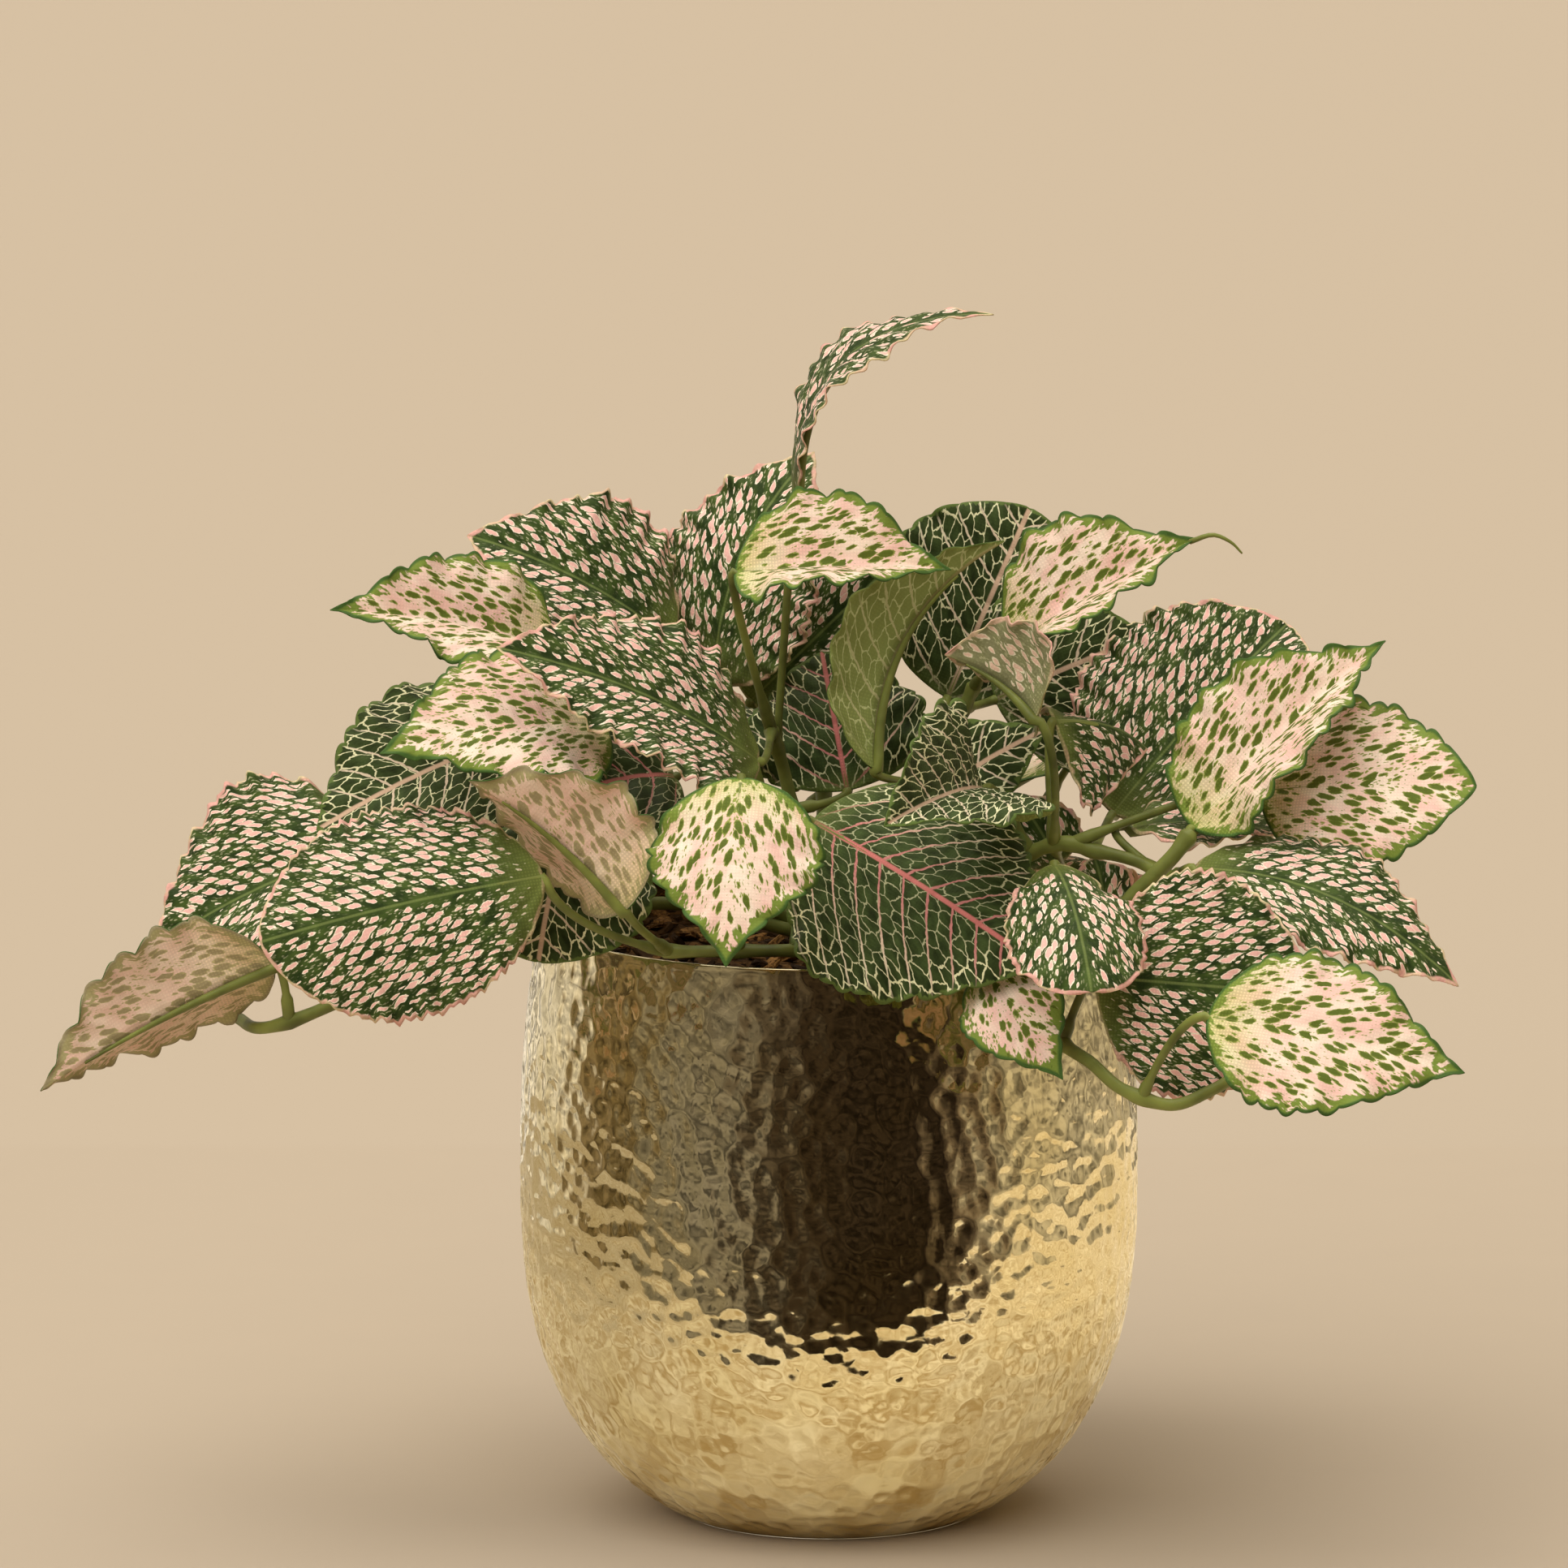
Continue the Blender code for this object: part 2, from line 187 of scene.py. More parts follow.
ring_gap = HAMMER_MARK * HAMMER_ROW_GAP
for ring in range(int(fine_run[-1] / ring_gap) + 2):
    ring_run = ring * ring_gap
    ring_radius = np.interp(ring_run, fine_run, fine_radius)
    marks = max(round(2 * math.pi * ring_radius / HAMMER_MARK), 6)
    start = scatter.random() * 2 * math.pi
    shift_round = (scatter.random(marks) - 0.5) * 2 * MARK_SCATTER
    shift_run = (scatter.random(marks) - 0.5) * 2 * MARK_SCATTER * HAMMER_MARK
    place = (turn - start) / (2 * math.pi) * marks
    for step in (-1, 0, 1):
        mark = np.floor(place).astype(int) + step
        across = (place - mark - 0.5 - shift_round[mark % marks]) * HAMMER_MARK
        along = run - ring_run - shift_run[mark % marks]
        reach = np.hypot(across, along)
        second = np.minimum(second, np.maximum(reach, nearest))
        nearest = np.minimum(nearest, reach)
half = HAMMER_MARK / 2
bowl = 1 - np.clip(nearest / half, 0, 1.25) ** 2
ridge = np.clip((second - nearest) / (0.3 * HAMMER_MARK), 0, 1)
sink = MARK_DEPTH * (bowl * 0.5 + 0.5) * (0.35 + 0.65 * ridge * (2 - ridge))
sink *= np.clip((pot_height - height) / 3.0, 0, 1) * np.clip(height / 4.0, 0, 1) * outer
normals = np.empty(len(points) * 3, np.float32)
pot.data.vertices.foreach_get("normal", normals)
set_points(pot.data, points - normals.reshape(-1, 3) * (sink * MM)[:, None])
bpy.ops.object.shade_smooth()

# Gold-coloured plating on polished metal: near-mirror bright, warm, with faint rubbing and a
# slightly duller bloom in soft patches.
gold, tree, shader = new_material("gold_plated_metal_polished", Metallic=1.0)
spot = add(tree, "TexCoord", output="Object")
bloom = add(tree, "TexNoise", {"Vector": spot, "Scale": 38.0, "Detail": 3.0, "Roughness": 0.6})
tone = add(tree, "MapRange", {"Value": bloom, "From Min": 0.35, "From Max": 0.7})
plating = add(
    tree, "Mix", {"Factor": tone, "A": linear("#EDE3C2"), "B": linear("#E2D4A8")}, output=2, data_type="RGBA"
)
rubbed = add(tree, "TexNoise", {"Vector": spot, "Scale": 420.0, "Detail": 2.0})
gloss = {"Value": rubbed, "From Min": 0.3, "From Max": 0.75, "To Min": 0.06, "To Max": 0.13}
gloss = add(tree, "MapRange", gloss)
pits = add(tree, "TexNoise", {"Vector": spot, "Scale": 900.0, "Detail": 1.0})
finish = add(tree, "Bump", {"Height": pits, "Strength": 0.12, "Distance": 0.00003})
swirl = add(tree, "TexNoise", {"Vector": spot, "Scale": 90.0, "Detail": 2.0}, output="Color")
swirled = add(tree, "VectorMath", {0: swirl, 1: (0.006, 0.006, 0.006), 2: spot}, operation="MULTIPLY_ADD")
lighter_blows = {"Vector": swirled, "Scale": 175.0, "Smoothness": 0.25}
blows = add(tree, "TexVoronoi", lighter_blows, "Distance", feature="SMOOTH_F1")
finish = add(tree, "Bump", {"Height": blows, "Strength": 1.0, "Distance": 0.0003, "Normal": finish})
tree.links.new(plating, shader.inputs["Base Color"])
tree.links.new(gloss, shader.inputs["Roughness"])
tree.links.new(finish, shader.inputs["Normal"])
pot.data.materials.append(gold)
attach(pot, "root")
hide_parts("pot")


# ------------------------------------------------------------------ the filler
# Foam packed into the pot, hidden under loose dark bark and soil that is glued on top. The bark
# is a lumpy bed with a scatter of flat chips, some paler where they split.

BED_RADIUS = 79.0
BED_ROUND = 180
BED_STEPS = 44
BED_SIDE = 10
BED_DEPTH = 14.0
BED_RELIEF = 2.4
BED_SINK = 1.2
BED_WELD = 0.00003
BIG_LUMP = 11
SMALL_LUMP = 4
CHIP_COUNT = 420
CHIP_SIZE = (3.0, 9.0)
CHIP_MARGIN = 4
CHIP_LIFT = 0.5

low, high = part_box("filler")
bed_top = high.z / MM - BED_SINK


def bed_height(x, y):
    """The bed's height in millimetres at a place, with lumps of two sizes."""
    lumps = noise.noise(Vector((x / BIG_LUMP, y / BIG_LUMP, 3.1)))
    lumps += 0.5 * noise.noise(Vector((x / SMALL_LUMP, y / SMALL_LUMP, 8.7)))
    return bed_top + BED_RELIEF * lumps * 0.8


deselect()
bpy.ops.mesh.primitive_grid_add(x_subdivisions=BED_ROUND, y_subdivisions=BED_STEPS + BED_SIDE * 2, size=1)
bed = bpy.context.object
bed.name = "bark_bed"
sheet = points_of(bed.data)
placed = np.empty_like(sheet)
last_top = BED_STEPS / (BED_STEPS + BED_SIDE * 2)
last_side = (BED_STEPS + BED_SIDE) / (BED_STEPS + BED_SIDE * 2)
for k, (u, v, _) in enumerate(sheet):
    angle, out = (u + 0.5) * 2 * math.pi, v + 0.5
    if out <= last_top:
        r = BED_RADIUS * out / last_top
        x, y = math.cos(angle) * r, math.sin(angle) * r
        z = bed_height(x, y)
    elif out <= last_side:
        x, y = math.cos(angle) * BED_RADIUS, math.sin(angle) * BED_RADIUS
        z = bed_height(x, y) - BED_DEPTH * (out - last_top) / (last_side - last_top)
    else:
        r = BED_RADIUS * (1 - out) / (1 - last_side)
        x, y, z = math.cos(angle) * r, math.sin(angle) * r, bed_top - BED_DEPTH - BED_RELIEF
    placed[k] = (x * MM, y * MM, z * MM)
set_points(bed.data, placed)
bpy.ops.object.mode_set(mode="EDIT")
bpy.ops.mesh.select_all(action="SELECT")
bpy.ops.mesh.remove_doubles(threshold=BED_WELD)
bpy.ops.mesh.normals_make_consistent(inside=False)
bpy.ops.object.mode_set(mode="OBJECT")
bpy.ops.object.shade_smooth()

# Soil with crushed bark: dark, dry and dull, in crumbs of one to three millimetres.
soil, tree, shader = new_material("crushed_bark_glued", Roughness=0.95, Specular_IOR_Level=0.2)
spot = add(tree, "TexCoord", output="Object")
crumbs = add(tree, "TexVoronoi", {"Vector": spot, "Scale": 520.0}, output="Color")
crumb_edge = add(tree, "TexVoronoi", {"Vector": spot, "Scale": 520.0}, output="Distance")
drift = add(tree, "TexNoise", {"Vector": spot, "Scale": 60.0, "Detail": 4.0})
shade = add(tree, "Math", {0: add(tree, "SeparateColor", {"Color": crumbs}), 1: drift}, operation="MULTIPLY")
soil_colour = add(tree, "ValToRGB", {"Fac": shade})
ramp = soil_colour.node.color_ramp
ramp.elements[0].color = linear("#1C130C")
ramp.elements[1].position = 0.55
ramp.elements[1].color = linear("#6B4C2B")
tree.links.new(soil_colour, shader.inputs["Base Color"])
crumb_bump = add(tree, "Bump", {"Height": crumb_edge, "Strength": 0.9, "Distance": 0.0012}, invert=True)
tree.links.new(crumb_bump, shader.inputs["Normal"])
bed.data.materials.append(soil)
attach(bed, "root")
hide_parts("filler")

# One chip is a flat split of bark with broken corners. The others are turned, sized copies of it.
deselect()
bpy.ops.mesh.primitive_cube_add(size=1)
chip = bpy.context.object
bpy.ops.object.mode_set(mode="EDIT")
bpy.ops.mesh.subdivide(number_cuts=1)
bpy.ops.mesh.vertices_smooth(factor=0.35, repeat=1)
bpy.ops.object.mode_set(mode="OBJECT")
chip_points = points_of(chip.data)
chip_faces = [tuple(face.vertices) for face in chip.data.polygons]
bpy.data.objects.remove(chip)
scatter = np.random.default_rng(23)
chips, faces, tints = [], [], []
for k in range(CHIP_COUNT):
    around, out = scatter.random() * 2 * math.pi, math.sqrt(scatter.random()) * (BED_RADIUS - CHIP_MARGIN)
    x, y = math.cos(around) * out, math.sin(around) * out
    length = CHIP_SIZE[0] + (CHIP_SIZE[1] - CHIP_SIZE[0]) * scatter.random() ** 2
    size = np.array([length, length * (0.3 + 0.4 * scatter.random()), 0.8 + 1.2 * scatter.random()])
    lean = Vector((scatter.normal() * 0.35, scatter.normal() * 0.35, 1)).to_track_quat("Z", "Y").to_matrix()
    heading = scatter.random() * 2 * math.pi
    spin = np.array(
        [[math.cos(heading), -math.sin(heading), 0], [math.sin(heading), math.cos(heading), 0], [0, 0, 1]]
    )
    rough = chip_points * (1 + (scatter.random(chip_points.shape) - 0.5) * 0.5)
    body = (rough * size) @ spin.T @ np.array(lean).T
    faces += [tuple(v + len(chip_points) * k for v in face) for face in chip_faces]
    chips.append((body + [x, y, bed_height(x, y) + CHIP_LIFT]) * MM)
    tints += [scatter.random()] * len(chip_points)
mesh = bpy.data.meshes.new("bark_chips")
mesh.from_pydata(np.concatenate(chips).tolist(), [], faces)
mesh.attributes.new("tint", "FLOAT", "POINT").data.foreach_set("value", tints)
bark_chips = bpy.data.objects.new("bark_chips", mesh)
bpy.context.collection.objects.link(bark_chips)

# Split pine bark: brown, with a paler, golden split face on some of the chips, and fine grain.
bark, tree, shader = new_material("pine_bark_split", Roughness=0.85, Specular_IOR_Level=0.3)
tint = add(tree, "Attribute", output="Fac", attribute_name="tint")
spot = add(tree, "TexCoord", output="Object")
grain = add(tree, "TexNoise", {"Vector": spot, "Scale": 600.0, "Detail": 3.0, "Distortion": 1.5})
shade = add(tree, "Math", {0: tint, 1: grain}, operation="MULTIPLY")
bark_colour = add(tree, "ValToRGB", {"Fac": shade})
ramp = bark_colour.node.color_ramp
ramp.elements[0].color = linear("#24170D")
ramp.elements[1].position = 0.62
ramp.elements[1].color = linear("#A87A42")
middle = ramp.elements.new(0.33)
middle.color = linear("#4E3419")
tree.links.new(bark_colour, shader.inputs["Base Color"])
grain_bump = add(tree, "Bump", {"Height": grain, "Strength": 0.6, "Distance": 0.0004})
tree.links.new(grain_bump, shader.inputs["Normal"])
mesh.materials.append(bark)
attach(bark_chips, "root")


# ------------------------------------------------------------------ the stems
# Twelve moulded polythene stems, pushed into the foam in a ring. Each is a soft olive rod that
# swells at every place where a leaf's stalk is pushed onto it.

FILLER_TOP = 158.0
GAP = 0.3
STEM_RING_RADIUS = 9.0
STEM_RING_STEP = 30.0
STEM_RISE = 5.0
STEM_SINK = 5.0
STEM_POINTS = 81
ROD_SIDES = 14
SWELL = 0.32
SWELL_LENGTH = 3.2

# name, place in the ring, radius, then the points that the stem passes after it has left the bark
STEMS = [
    ("stem_front", 0, 1.7, [(10, -38, 164), (-3, -62, 169), (-20, -68, 170), (-38, -69, 170),
                            (-45, -68, 170)]),
    ("stem_right_low", 1, 1.7, [(50, -56, 172), (60, -78, 166), (61, -99, 153), (70, -115, 148),
                                (78, -120, 142), (91, -121, 138), (102, -120, 142), (109, -119, 146)]),
    ("stem_right", 2, 1.7, [(34, -30, 178), (59, -52, 196), (72, -54, 195), (83, -58, 193),
                            (92, -60, 189), (103, -60, 185)]),
    ("stem_right_upright", 3, 2.2, [(46, -30, 172), (69, -70, 173), (83, -72, 187), (92, -72, 196),
                                    (97, -70, 202)]),
    ("stem_right_high", 4, 1.8, [(16, 2, 180), (30, 0, 210), (40, -2, 232)]),
    ("stem_rear_right", 5, 1.8, [(20, 24, 174), (42, 30, 190), (60, 34, 192)]),
    ("stem_rear", 6, 1.8, [(-2, 26, 176), (-1, 47, 204), (-2, 50, 220)]),
    ("stem_rear_left", 7, 1.8, [(-20, 22, 170), (-40, 34, 182), (-60, 42, 186)]),
    ("stem_left_high", 8, 1.8, [(-14, 6, 180), (-22, 2, 212), (-34, 6, 238)]),
    ("stem_left", 9, 1.8, [(-26, -14, 182), (-52, -22, 208), (-68, -26, 226), (-72, -24, 240)]),
    ("stem_left_low", 10, 1.7, [(-45, -18, 174), (-88, -34, 170), (-148, -40, 145), (-164, -22, 143),
                                (-175, -12, 146), (-177, -6, 151)]),
    ("stem_centre", 11, 1.8, [(-7, -2, 180), (-12, -2, 206), (-16, -10, 221)]),
]

# Each leaf: its print; the blade's base and tip; its width; which way its upper side looks
# (degrees round from the front, degrees up); how far the midrib arches; the fold along the midrib
# in degrees; where it is widest; its stem, how far along that stem the stalk stands, how far the
# stalk runs on straight behind the blade, and how far it dips. Lengths are millimetres.
LEAVES = [
    ("pale", (-152, -45, 162), (-215, -62, 130), 48, (180, 35), 3, 35, 0.375, "stem_left_low", 0.5, 3, 0),
    ("spotted", (-124, -10, 189), (-186, -18, 161), 66, (0, 45), 6, 15, 0.375, "stem_left_low", 0.4, 3, 0),
    ("spotted", (-77, -92, 195), (-153, -104, 179), 60, (-5, 25), 5, -8, 0.5, "stem_front", 1.0, 3, 14),
    ("netted", (-83, -18, 222), (-140, -45, 199), 56, (-5, 40), 4, 10, 0.375, "stem_left", 0.8, 3, 0),
    ("pale", (-61, -51, 229), (-121, -91, 228), 50, (-5, 45), 6, 12, 0.375, "stem_left", 0.9, 3, 0),
    ("pale", (-74, -21, 245), (-136, -45, 260), 44, (-5, 45), 4, 32, 0.375, "stem_left", 1.0, 8, 0),
    ("spotted", (-43, 13, 242), (-100, 5, 273), 58, (0, 45), 6, 18, 0.375, "stem_left_high", 1.0, 3, 0),
    ("spotted", (-19, -43, 218), (-90, -79, 255), 54, (0, 48), 6, 15, 0.375, "stem_centre", 1.0, 3, 0),
    ("pale", (-55, -90, 185), (-97, -98, 222), 50, (156, 26), 4, 35, 0.375, "stem_front", 0.95, 3, 2),
    ("netted", (-71, -51, 203), (-79, -69, 167), 58, (-10, 20), 4, 10, 0.5, "stem_left", 0.65, 3, 0),
    ("netted", (-42, -32, 212), (-73, -52, 209), 46, (0, 40), 4, 15, 0.375, "stem_left", 0.5, 3, 0),
    ("pale", (-24, -92, 222), (-28, -124, 176), 47, (-5, 35), 6, -10, 0.375, "stem_front", 0.65, 3, 0),
    ("netted", (-5, -62, 205), (57, -105, 172), 70, (-5, 32), 4, -8, 0.375, "stem_front", 0.45, 3, 0),
    ("netted", (42, -66, 214), (14, -124, 214), 54, (59, 45), 6, 42, 0.375, "stem_right", 0.3, 12, -5),
    ("netted", (12, -22, 212), (48, -12, 274), 40, (-130, 15), 13, 45, 0.375, "stem_right_high", 0.6, 3, 0),
    ("spotted", (-10, -10, 284), (45, -15, 337), 34, (-78, 35), 20, 10, 0.375, "stem_centre", 0.88, 3, 0),
    ("spotted", (-32, 22, 229), (-4, 29, 293), 54, (-35, 10), 13, 5, 0.375, "stem_left_high", 0.95, 3, 0),
    ("pale", (-26, -35, 269), (33, -45, 271), 46, (0, 50), 2, 42, 0.375, "stem_centre", 1.0, 3, 0),
    ("spotted", (-22, 39, 221), (19, 41, 261), 54, (10, 20), 2, 10, 0.375, "stem_rear", 1.0, 3, 0),
    ("netted", (33, 27, 224), (56, 37, 276), 62, (0, 15), 4, 10, 0.5, "stem_right_high", 0.8, 3, 0),
    ("pale", (48, -30, 247), (100, -40, 279), 50, (-10, 50), 2, 40, 0.375, "stem_right_high", 1.0, 3, 0),
    ("netted", (46, 18, 225), (88, 10, 244), 54, (0, 20), 3, 0, 0.375, "stem_right_high", 0.9, 3, 0),
    ("spotted", (56, -74, 235), (31, -60, 250), 44, (170, 40), 3, 40, 0.375, "stem_right", 0.35, 12, 0),
    ("spotted", (61, -48, 230), (87, -30, 219), 46, (-10, 50), 4, -35, 0.375, "stem_right", 0.35, 3, 0),
    ("spotted", (78, -17, 199), (127, 13, 247), 70, (-25, 22), 3, 20, 0.48, "stem_right", 0.5, 3, 0),
    ("pale", (98, -63, 203), (151, -48, 252), 50, (-25, 40), 3, 38, 0.375, "stem_right_upright", 1.0, 3, 0),
    ("pale", (117, -50, 211), (175, -67, 215), 50, (5, 33), 3, 8, 0.42, "stem_right", 0.4, 3, -5),
    ("spotted", (82, -49, 201), (129, -47, 197), 34, (0, 79), 3, 10, 0.375, "stem_right", 0.8, 12, -3),
    ("spotted", (98, -74, 194), (169, -94, 165), 42, (5, 55), 12, 5, 0.375, "stem_right", 0.85, 3, 0),
    ("spotted", (71, -106, 170), (129, -111, 166), 62, (0, 12), 3, 5, 0.45, "stem_right_low", 0.4, 3, 0),
    ("pale", (100, -131, 164), (168, -143, 151), 46, (5, 32), 4, 8, 0.375, "stem_right_low", 0.68, 8, 0),
    ("spotted", (60, -96, 199), (69, -139, 172), 38, (10, 20), 6, -10, 0.6, "stem_right_upright", 0.5, 3, 0),
    ("spotted", (63, -35, 188), (51, -33, 207), 22, (0, 20), 3, 10, 0.375, "stem_right", 0.35, 3, 0),
    ("pale", (42, -87, 169), (62, -122, 145), 30, (-5, 15), 4, 10, 0.375, "stem_right_low", 0.25, 3, 0),
    ("netted", (5, 3, 202), (-2, 28, 237), 52, (0, 10), 3, 15, 0.375, "stem_centre", 0.55, 3, 0),
    ("spotted", (75, -45, 177), (72, -40, 191), 20, (20, 20), 2, 10, 0.375, "stem_right_upright", 0.3, 3, 0),
    ("netted", (22, -32, 201), (59, -44, 227), 30, (0, 35), 4, 8, 0.375, "stem_right", 0.2, 3, 0),
    ("spotted", (-48, 22, 196), (-112, 60, 212), 56, (-150, 55), 5, 10, 0.375, "stem_rear_left", 0.75, 3, 0),
    ("pale", (-28, 39, 205), (-70, 95, 226), 50, (-160, 50), 5, 12, 0.375, "stem_rear_left", 0.65, 3, 0),
    ("netted", (-9, 52, 196), (-14, 122, 206), 58, (180, 45), 6, 8, 0.375, "stem_rear", 0.6, 3, 0),
    ("pale", (48, 44, 196), (102, 88, 200), 50, (150, 55), 5, 12, 0.375, "stem_rear_right", 0.8, 3, 0),
    ("netted", (74, 21, 216), (134, 49, 226), 54, (130, 60), 5, 8, 0.375, "stem_rear_right", 1.0, 3, 0),
    ("pale", (-64, 35, 176), (-112, 88, 168), 50, (-150, 40), 5, -6, 0.375, "stem_rear_left", 1.0, 3, 0),
    ("spotted", (-16, 60, 182), (-34, 126, 168), 60, (180, 35), 6, -6, 0.375, "stem_rear", 0.55, 3, 0),
    ("spotted", (48, 56, 176), (88, 108, 150), 56, (150, 40), 5, -6, 0.375, "stem_rear_right", 0.85, 3, 0),
    ("netted", (-6, 40, 232), (-2, 101, 262), 52, (180, 40), 5, 12, 0.375, "stem_rear", 0.85, 3, 0),
]


def smooth_line(points, count):
    """Points along the Catmull-Rom curve through the given points."""
    chain = [points[0] * 2 - points[1]] + points + [points[-1] * 2 - points[-2]]
    spans = len(points) - 1
    line = []
    for k in range(count):
        at = k / (count - 1) * spans
        span = min(int(at), spans - 1)
        f = at - span
        a, b, c, d = chain[span : span + 4]
        bend = (a * 2 - b * 5 + c * 4 - d) * f**2 + (b * 3 - a - c * 3 + d) * f**3
        line.append((b * 2 + (c - a) * f + bend) * 0.5)
    return line


def rod(name, line, radii, sides=ROD_SIDES):
    """A round rod along a line, with its own radius at each point and rounded ends."""
    first, last = (line[0] - line[1]).normalized(), (line[-1] - line[-2]).normalized()
    line = [line[0] + first * radii[0] * 0.6, *line, line[-1] + last * radii[-1] * 0.6]
    radii = [radii[0] * 0.55, *radii, radii[-1] * 0.55]
    curve = bpy.data.curves.new(name, "CURVE")
    curve.dimensions = "3D"
    curve.bevel_depth = MM
    curve.bevel_resolution = max((sides - 4) // 2, 0)
    curve.use_fill_caps = True
    spline = curve.splines.new("POLY")
    spline.points.add(len(line) - 1)
    for knot, point, radius in zip(spline.points, line, radii):
        knot.co = (*(point * MM), 1.0)
        knot.radius = radius
    made = bpy.data.objects.new(name, curve)
    bpy.context.collection.objects.link(made)
    deselect()
    made.select_set(True)
    bpy.context.view_layer.objects.active = made
    bpy.ops.object.convert(target="MESH")
    bpy.ops.object.shade_smooth()
    return bpy.context.object


# Moulded polythene, dyed olive: a waxy satin skin, greener on young growth, with long faint
# flow lines and a browner tinge in blotches.
stem_plastic, tree, shader = new_material(
    "polythene_moulded_olive", Subsurface_Weight=0.08, Subsurface_Scale=0.002, Specular_IOR_Level=0.45
)
spot = add(tree, "TexCoord", output="Object")
blotch = add(tree, "TexNoise", {"Vector": spot, "Scale": 55.0, "Detail": 3.0, "Roughness": 0.6})
stem_colour = add(tree, "ValToRGB", {"Fac": blotch})
ramp = stem_colour.node.color_ramp
ramp.elements[0].position = 0.3
ramp.elements[0].color = linear("#4B5021")
ramp.elements[1].position = 0.72
ramp.elements[1].color = linear("#8B9347")
skin = add(tree, "TexNoise", {"Vector": spot, "Scale": 700.0, "Detail": 2.0})
stem_gloss = add(tree, "MapRange", {"Value": skin, "To Min": 0.36, "To Max": 0.56})
stem_bump = add(tree, "Bump", {"Height": skin, "Strength": 0.35, "Distance": 0.00025})
tree.links.new(stem_colour, shader.inputs["Base Color"])
tree.links.new(stem_gloss, shader.inputs["Roughness"])
tree.links.new(stem_bump, shader.inputs["Normal"])

stem_lines = {}
for stem_name, ring_place, stem_radius, passed in STEMS:
    turn = math.radians(ring_place * STEM_RING_STEP)
    foot = Vector((math.sin(turn), -math.cos(turn), 0.0)) * STEM_RING_RADIUS
    foot.z = FILLER_TOP + GAP
    risen = foot + Vector((0.0, 0.0, STEM_RISE))
    line = smooth_line([risen] + [Vector(point) for point in passed], STEM_POINTS)
    stem_lines[stem_name] = line
    joints = [line[round(leaf[9] * (STEM_POINTS - 1))] for leaf in LEAVES if leaf[8] == stem_name]
    radii = []
    for k, point in enumerate(line):
        nearness = (math.exp(-(((point - joint).length / SWELL_LENGTH) ** 2)) for joint in joints)
        swell = max(nearness, default=0)
        taper = 1.12 - 0.2 * k / (STEM_POINTS - 1)
        radii.append(stem_radius * (taper + SWELL * swell))
    sunk = foot - Vector((0.0, 0.0, STEM_SINK))
    stem = rod(stem_name + "_rod", [sunk, foot] + line, [radii[0] * 1.15, radii[0] * 1.1] + radii)
    stem.data.materials.append(stem_plastic)
    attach(stem, "root")
    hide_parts(stem_name)


# ------------------------------------------------------------------ the leaves
# Each leaf is a blade die-cut from printed polyester cloth with a scalloped or toothed edge. It is
# hot-pressed so that its veins stand in relief, and glued to a moulded rib that runs on as its
# stalk. There are three prints: pink spots on green, green spots on pale pink, and a net of veins.

CLOTH = 0.36
LENGTH_STEPS = 120
WIDTH_STEPS = 20
BASE_POWER = 0.6
CROWNING = 0.15
EDGE_WAVE = 1.2
WAVES_PER_LENGTH = 3.2
BLADE_SWAY = 1.5
DRIP_TIP = 0.45
ROW_PITCH = 4.4
VEIN_CURL = 0.011
STALK_RADIUS = 1.15
STALK_POINTS = 15
RIB_REACH = 0.8
RIB_POINTS = 22
RIB_GROOVE = 0.45
FIRST_ROW = 40
TOOTH_RISE, TOOTH_FALL = 0.72, 0.28
EDGE_SAMPLES = 200
WEAVE_PITCH = 0.9
WAVE_PERIOD = 0.31416

# For each print: the edge teeth's pitch and depth, whether they lean towards the tip, how deep the
# press makes the veins, how strongly the edge ruffles, and how far the side veins sweep forward.
CUTS = {
    "spotted": (3.3, 1.25, True, 0.9, 1.4, 0.95),
    "pale": (5.6, 1.6, False, 0.8, 1.7, 1.0),
    "netted": (5.8, 1.4, False, 1.0, 1.2, 0.62),
}


def unit(vectors):
    return vectors / np.linalg.norm(vectors, axis=-1, keepdims=True)


def blade_frame(leaf):
    """The blade's base, bow and tip, and the direction that its upper side looks in."""
    base, tip = np.array(leaf[1], float), np.array(leaf[2], float)
    azimuth, elevation = (math.radians(a) for a in leaf[4])
    level = math.cos(elevation)
    look = np.array([math.sin(azimuth) * level, -math.cos(azimuth) * level, math.sin(elevation)])
    along = unit(tip - base)
    up = unit(look - along * look.dot(along))
    return base, (base + tip) / 2 + up * (2 * leaf[5]), tip, up


def on_blade(leaf, share, across, lift=0.0, tooth=0.0):
    """Places on the bent blade: a share of its length, from -1 to 1 across it, and off its surface."""
    base, bow, tip, up = blade_frame(leaf)
    width, fold, widest = leaf[3], math.radians(leaf[6]), leaf[7]
    s, t = share[:, None], across[:, None]
    middle = base * (1 - s) ** 2 + bow * (2 * s * (1 - s)) + tip * s**2
    along = unit((bow - base) * (1 - s) + (tip - bow) * s)
    normal = unit(up - along * (along @ up)[:, None])
    side = np.cross(along, normal)
    half = half_width(share, width, widest)[:, None]
    angle = fold * np.minimum(1, 3 * s + 0.3)
    phase = WAVES_PER_LENGTH * s + np.where(t > 0, 0.35, 0.0)
    wave = np.sin(2 * np.pi * phase + width) * np.minimum(1, 4 * s) * (1 - s)
    rise = half * (np.abs(t) * np.sin(angle) - CROWNING * t**2) + EDGE_WAVE * np.abs(t) ** 1.5 * wave
    out = half * t * np.cos(angle) + np.sign(t) * np.reshape(tooth, (-1, 1))
    return middle + side * out + normal * (rise + np.reshape(lift, (-1, 1)))


